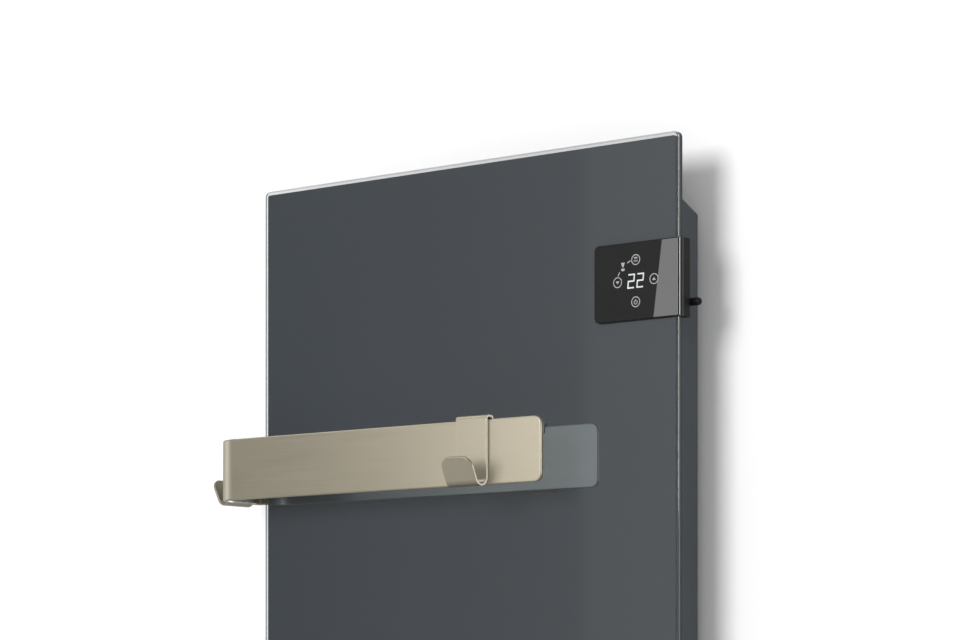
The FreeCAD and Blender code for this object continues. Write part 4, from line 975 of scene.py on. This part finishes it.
    def _keys(self) -> BMesh:
        """Rings with arrows, a programme sign and a power sign, and a small lamp sign.

        Returns:
            Their mesh.
        """
        bm = bmesh.new()
        across, up = self.key_reach
        for u, v in ((-across, 0), (across, 0), (0, up), (0, -up)):
            self._ring(bm, u, v, self.ring_radius, self.ring_line)
        for u, way in ((-across, -1), (across, 1)):
            points = [(u - self.arrow_half, -way * self.arrow_foot), (u + self.arrow_half, -way * self.arrow_foot),
                      (u, way * self.arrow_tip)]
            self._shape(bm, points[::way], self.arrow_rounding)
        for stroke in self.programme_sign:
            self._stroke(bm, stroke, up)
        self._ring(bm, 0, -up - self.power_drop, self.power_radius, self.power_line, self.power_sweep)
        self._stroke(bm, self.power_stroke, -up)
        u, v = self.shade_middle
        top, foot = v + self.shade_rise, v - self.shade_rise
        self._shape(bm, [(u - self.shade_half, top), (u + self.shade_half, top),
                         (u + self.shade_foot, foot), (u - self.shade_foot, foot)], self.shade_rounding)
        for stroke in self.lamp_strokes:
            self._stroke(bm, stroke, 0.0)
        return bm

    def _stroke(self, target: BMesh, stroke: Stroke, rise: float) -> None:
        """Print a straight stroke.

        Args:
            target: Mesh that gets it.
            stroke: The stroke.
            rise: How far the middle of its sign lies above the middle of the print.
        """
        a, b = (Vector(p) * MM + Vector((0, rise)) for p in (stroke.start, stroke.end))
        width = stroke.width * MM
        side = (b - a).orthogonal().normalized() * width / 2
        corners = (a + side, a - side, b - side, b + side)
        self._shape(target, [tuple(p) for p in corners], self.stroke_rounding * width)


@dataclass
class TowelBar(SubAssembly):
    """Flat bar bent round the left edge of the glass, and what holds it in the housing."""

    nodes: Names = ("towel_bar", "bar_slot_trim", "bar_bracket", "bar_screws", "bracket_rivets", "access_plugs")


@dataclass
class FrontHook(SubAssembly):
    """Hook that slides along the front of the bar."""

    body: str = "front_hook"
    nodes: Names = ("hook_front", "hook_front_liner")


@dataclass
class SideHook(SubAssembly):
    """Hook on the short leg of the bar."""

    body: str = "side_hook"
    nodes: Names = ("hook_side", "hook_side_liner")


@dataclass
class RearHousing(SubAssembly):
    """Painted tray, its service cover, hangers, buffers and cable gland."""

    nodes: Names = ("rear_housing", "service_cover", "cover_screws", "wall_buffers", "hangers_upper",
                    "hangers_lower", "hanger_rivets", "cable_gland", "gland_nut")


@dataclass
class HeatingElement(SubAssembly):
    """Heating mat behind the glass, its insulation, limiter and leads."""

    nodes: Names = ("heating_mat", "insulation_board", "mat_terminals", "overheat_limiter", "element_leads")


@dataclass
class Electronics(SubAssembly):
    """Power board with its components, the control lead and the earth connection."""

    nodes: Names = ("power_board", "board_standoffs", "board_screws", "relay", "transformer", "terminal_block",
                    "control_connector", "control_lead", "earth_stud", "earth_nut", "earth_lead")


@dataclass
class WallMount(SubAssembly):
    """Rails that stay on the wall."""

    body: str = "wall_mount"
    nodes: Names = ("wall_rail_upper", "wall_rail_lower")


# Stage


@dataclass(frozen=True)
class Lamp:
    """Rectangular softbox that lights everything, or only the pieces named, shaded by those or by others named."""

    name: str
    size: Pair
    power: float
    place: Triple = (0.0, 0.0, 0.0)
    target: Triple = (0.0, 0.0, 0.0)
    tint: Colour = (1.0, 1.0, 1.0)
    lit: Names = ()
    shading: Names = ()

    def hang(self, turn: Matrix) -> None:
        """Hang the lamp in the scene.

        Args:
            turn: Its place and direction; it shines along its own -Z.
        """
        data = bpy.data.lights.new(self.name, "AREA")
        data.shape = "RECTANGLE"
        data.size, data.size_y = self.size
        data.energy = self.power
        data.color = self.tint
        lamp = bpy.data.objects.new(self.name, data)
        lamp.matrix_world = turn
        lamp.visible_camera = False
        bpy.context.scene.collection.objects.link(lamp)
        if self.lit:
            lamp.light_linking.receiver_collection = self._group("lit", self.lit)
            lamp.light_linking.blocker_collection = self._group("shading", self.shading or self.lit)

    def _group(self, use: str, names: Names) -> Collection:
        """Collect pieces that the lamp treats in one way.

        Args:
            use: What they are collected for.
            names: Names of the pieces.

        Returns:
            Their collection.
        """
        group = bpy.data.collections.new(f"{self.name}_{use}")
        for name in names:
            group.objects.link(bpy.data.objects[name])
        return group

    def aim(self) -> None:
        """Hang the lamp at its place so that it faces its target."""
        place, target = Vector(self.place), Vector(self.target)
        turn = (target - place).to_track_quat("-Z", "Y").to_matrix().to_4x4()
        self.hang(Matrix.Translation(place) @ turn)


BAR, HOOK = ("towel_bar",), ("hook_front",)
SMALL_LAMPS: tuple[Lamp, ...] = (
    *(Lamp(name, (0.25, 0.4), 0.53, place=(-0.34, -0.81, 0.3), target=(0.15, -0.1, 0.22), lit=BAR + HOOK,
           shading=shading) for name, shading in (("bar_light", BAR), ("bar_light_shaded", BAR + HOOK))),
    Lamp("bar_back_light", (0.3, 0.5), 12.3, place=(-0.12, 0.35, 0.28), target=(0.1, -0.1, 0.22),
         tint=(0.8, 0.96, 1.24), lit=BAR + HOOK, shading=BAR),
    Lamp("hook_edge_light", (0.5, 0.5), 11.0, place=(0.75, 0.7, 0.31), target=(0.07, -0.11, 0.22), lit=HOOK),
    Lamp("bar_rim_light", (0.5, 0.5), 7.0, place=(1.3, -0.25, 0.25), target=(0.13, -0.1, 0.22), lit=BAR),
    Lamp("bar_top_light", (0.5, 0.5), 3.0, place=(-0.62, -0.3, 0.97), target=(0.0, -0.1, 0.22), lit=BAR + HOOK),
    Lamp("hook_light", (0.4, 0.4), 0.24, place=(-0.5, -0.75, -0.3), target=(0.05, -0.1, 0.2), lit=HOOK),
)


@dataclass
class Studio:
    """Floor, wall, light and camera."""

    eye: Triple = (1.678, -2.1583, -0.012)
    yaw: float = 38.25
    lens: float = 106.42
    sensor: float = 36.0
    rise: float = 0.3997
    sight: Pair = (0.05, 50.0)
    floor_level: float = -0.75
    wall_gap: float = 0.5 * MM
    reach: float = 4.0
    key_size: Pair = (2.0, 2.1)
    key_power: float = 212.0
    key_target: Triple = (0.0, -0.03, 0.25)
    key_azimuth: float = -8.3
    key_height: float = 14.7
    key_distance: float = 5.0
    glare_line: tuple[Pair, Pair] = ((0.2342, 0.403), (0.2251, 0.335))
    glare_distance: float = 1.5
    glare_size: Pair = (0.3, 0.6)
    glare_power: float = 2.15
    # Each part of the sky: its brightness at the start and at the end of a range of directions, then that range
    sky_far_left: Ramp = (3.2, 0.13, -0.93, -0.8)
    sky_left: Ramp = (0.0, 0.25, -0.685, -0.465)
    sky_right: Ramp = (0.0, 0.4, 0.0, 0.6)
    sky_step: Ramp = (0.0, 0.065, -0.6337, -0.6282)
    sky_above: Ramp = (0.0, 0.25, 0.3, 0.9)

    def build(self) -> None:
        """Set the stage."""
        self._plane("floor", "floor_pale", Matrix.Translation((0, 0, self.floor_level)))
        wall = Matrix.Translation((0, self.wall_gap, self.floor_level + self.reach / 2))
        self._plane("wall", "wall_white", wall @ Matrix.Rotation(math.pi / 2, 4, "X"))
        self._sky()
        self._lamps()
        self._glare()
        self._camera()
        settings = bpy.context.scene.view_settings
        settings.view_transform = "Standard"
        settings.look = "None"

    def _plane(self, name: str, finish: str, place: Matrix) -> None:
        """Large plane that belongs to the stage.

        Args:
            name: Name of the plane.
            finish: Name of its finish.
            place: Where it lies.
        """
        bm = bmesh.new()
        bmesh.ops.create_grid(bm, x_segments=1, y_segments=1, size=self.reach / 2, matrix=place)
        mesh = bpy.data.meshes.new(name)
        bm.to_mesh(mesh)
        bm.free()
        mesh.materials.append(FINISHES[finish].material())
        plane = bpy.data.objects.new(name, mesh)
        bpy.context.scene.collection.objects.link(plane)

    def _sky(self) -> None:
        """Soft light from all round: bright right, above and far left, dim where the glass mirrors it."""
        world = bpy.data.worlds.new("studio")
        bpy.context.scene.world = world
        world.use_nodes = True
        g = Graph(world.node_tree)
        toward = g.add("ShaderNodeSeparateXYZ", {0: g.add("ShaderNodeTexCoord").outputs["Generated"]}).outputs
        turn = g.maths("ARCTAN2", toward["X"], g.maths("MULTIPLY", toward["Y"], -1.0))
        level = g.spread(toward["X"], *self.sky_far_left)
        for way, ramp in ((toward["X"], self.sky_left), (toward["X"], self.sky_right), (turn, self.sky_step),
                          (toward["Z"], self.sky_above)):
            level = g.maths("ADD", level, g.spread(way, *ramp))
        seen = g.add("ShaderNodeLightPath").outputs["Is Camera Ray"]
        sky = g.add("ShaderNodeBackground", {"Color": (1, 1, 1, 1), "Strength": g.maths("MAXIMUM", level, seen)})
        g.add("ShaderNodeOutputWorld", {"Surface": sky.outputs[0]})

    def _lamps(self) -> None:
        """Main softbox in front, and the small ones for the bar and the front hook."""
        a, e = math.radians(self.key_azimuth), math.radians(self.key_height)
        toward = Vector((math.sin(a) * math.cos(e), -math.cos(a) * math.cos(e), math.sin(e)))
        place = tuple(Vector(self.key_target) + toward * self.key_distance)
        Lamp("key_light", self.key_size, self.key_power, place, self.key_target).aim()
        for lamp in SMALL_LAMPS:
            lamp.aim()

    def _glare(self) -> None:
        """Lamp that the right part of the fascia mirrors, placed by the line where its image begins."""
        ends = []
        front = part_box("control_fascia")[0].y
        for x, z in self.glare_line:
            point = Vector((x, front, z))
            ray = (point - Vector(self.eye)).normalized()
            ray.y = -ray.y
            ends.append(point + ray * self.glare_distance)
        up = (ends[0] - ends[1]).normalized()
        across = up.cross(ray).normalized()
        lamp = Lamp("fascia_light", self.glare_size, self.glare_power, lit=("fascia_plate",))
        place = (ends[0] + ends[1]) / 2 + across * lamp.size[0] / 2
        turn = Matrix((across, up, across.cross(up))).transposed().to_4x4()
        lamp.hang(Matrix.Translation(place) @ turn)

    def _camera(self) -> None:
        """Level camera at the photograph's viewing angle; lens shift raises its view, so upright edges stay so."""
        data = bpy.data.cameras.new("camera")
        data.sensor_width = self.sensor
        data.lens = self.lens
        data.shift_y = self.rise
        data.clip_start, data.clip_end = self.sight
        camera = bpy.data.objects.new("camera", data)
        turn = Matrix.Rotation(math.radians(self.yaw), 4, "Z") @ Matrix.Rotation(math.pi / 2, 4, "X")
        camera.matrix_world = Matrix.Translation(self.eye) @ turn
        bpy.context.scene.collection.objects.link(camera)
        bpy.context.scene.camera = camera


def main() -> None:
    """Build the sub-assemblies in order and report each piece."""
    logging.basicConfig(level=logging.INFO, format="%(name)s: %(message)s")
    for kind in (GlassFront, ControlUnit, TowelBar, FrontHook, SideHook, RearHousing, HeatingElement, Electronics,
                 WallMount):
        part = kind()
        part.dress()
        part.build()
        part.report()
    Studio().build()


if __name__ == "__main__":
    main()
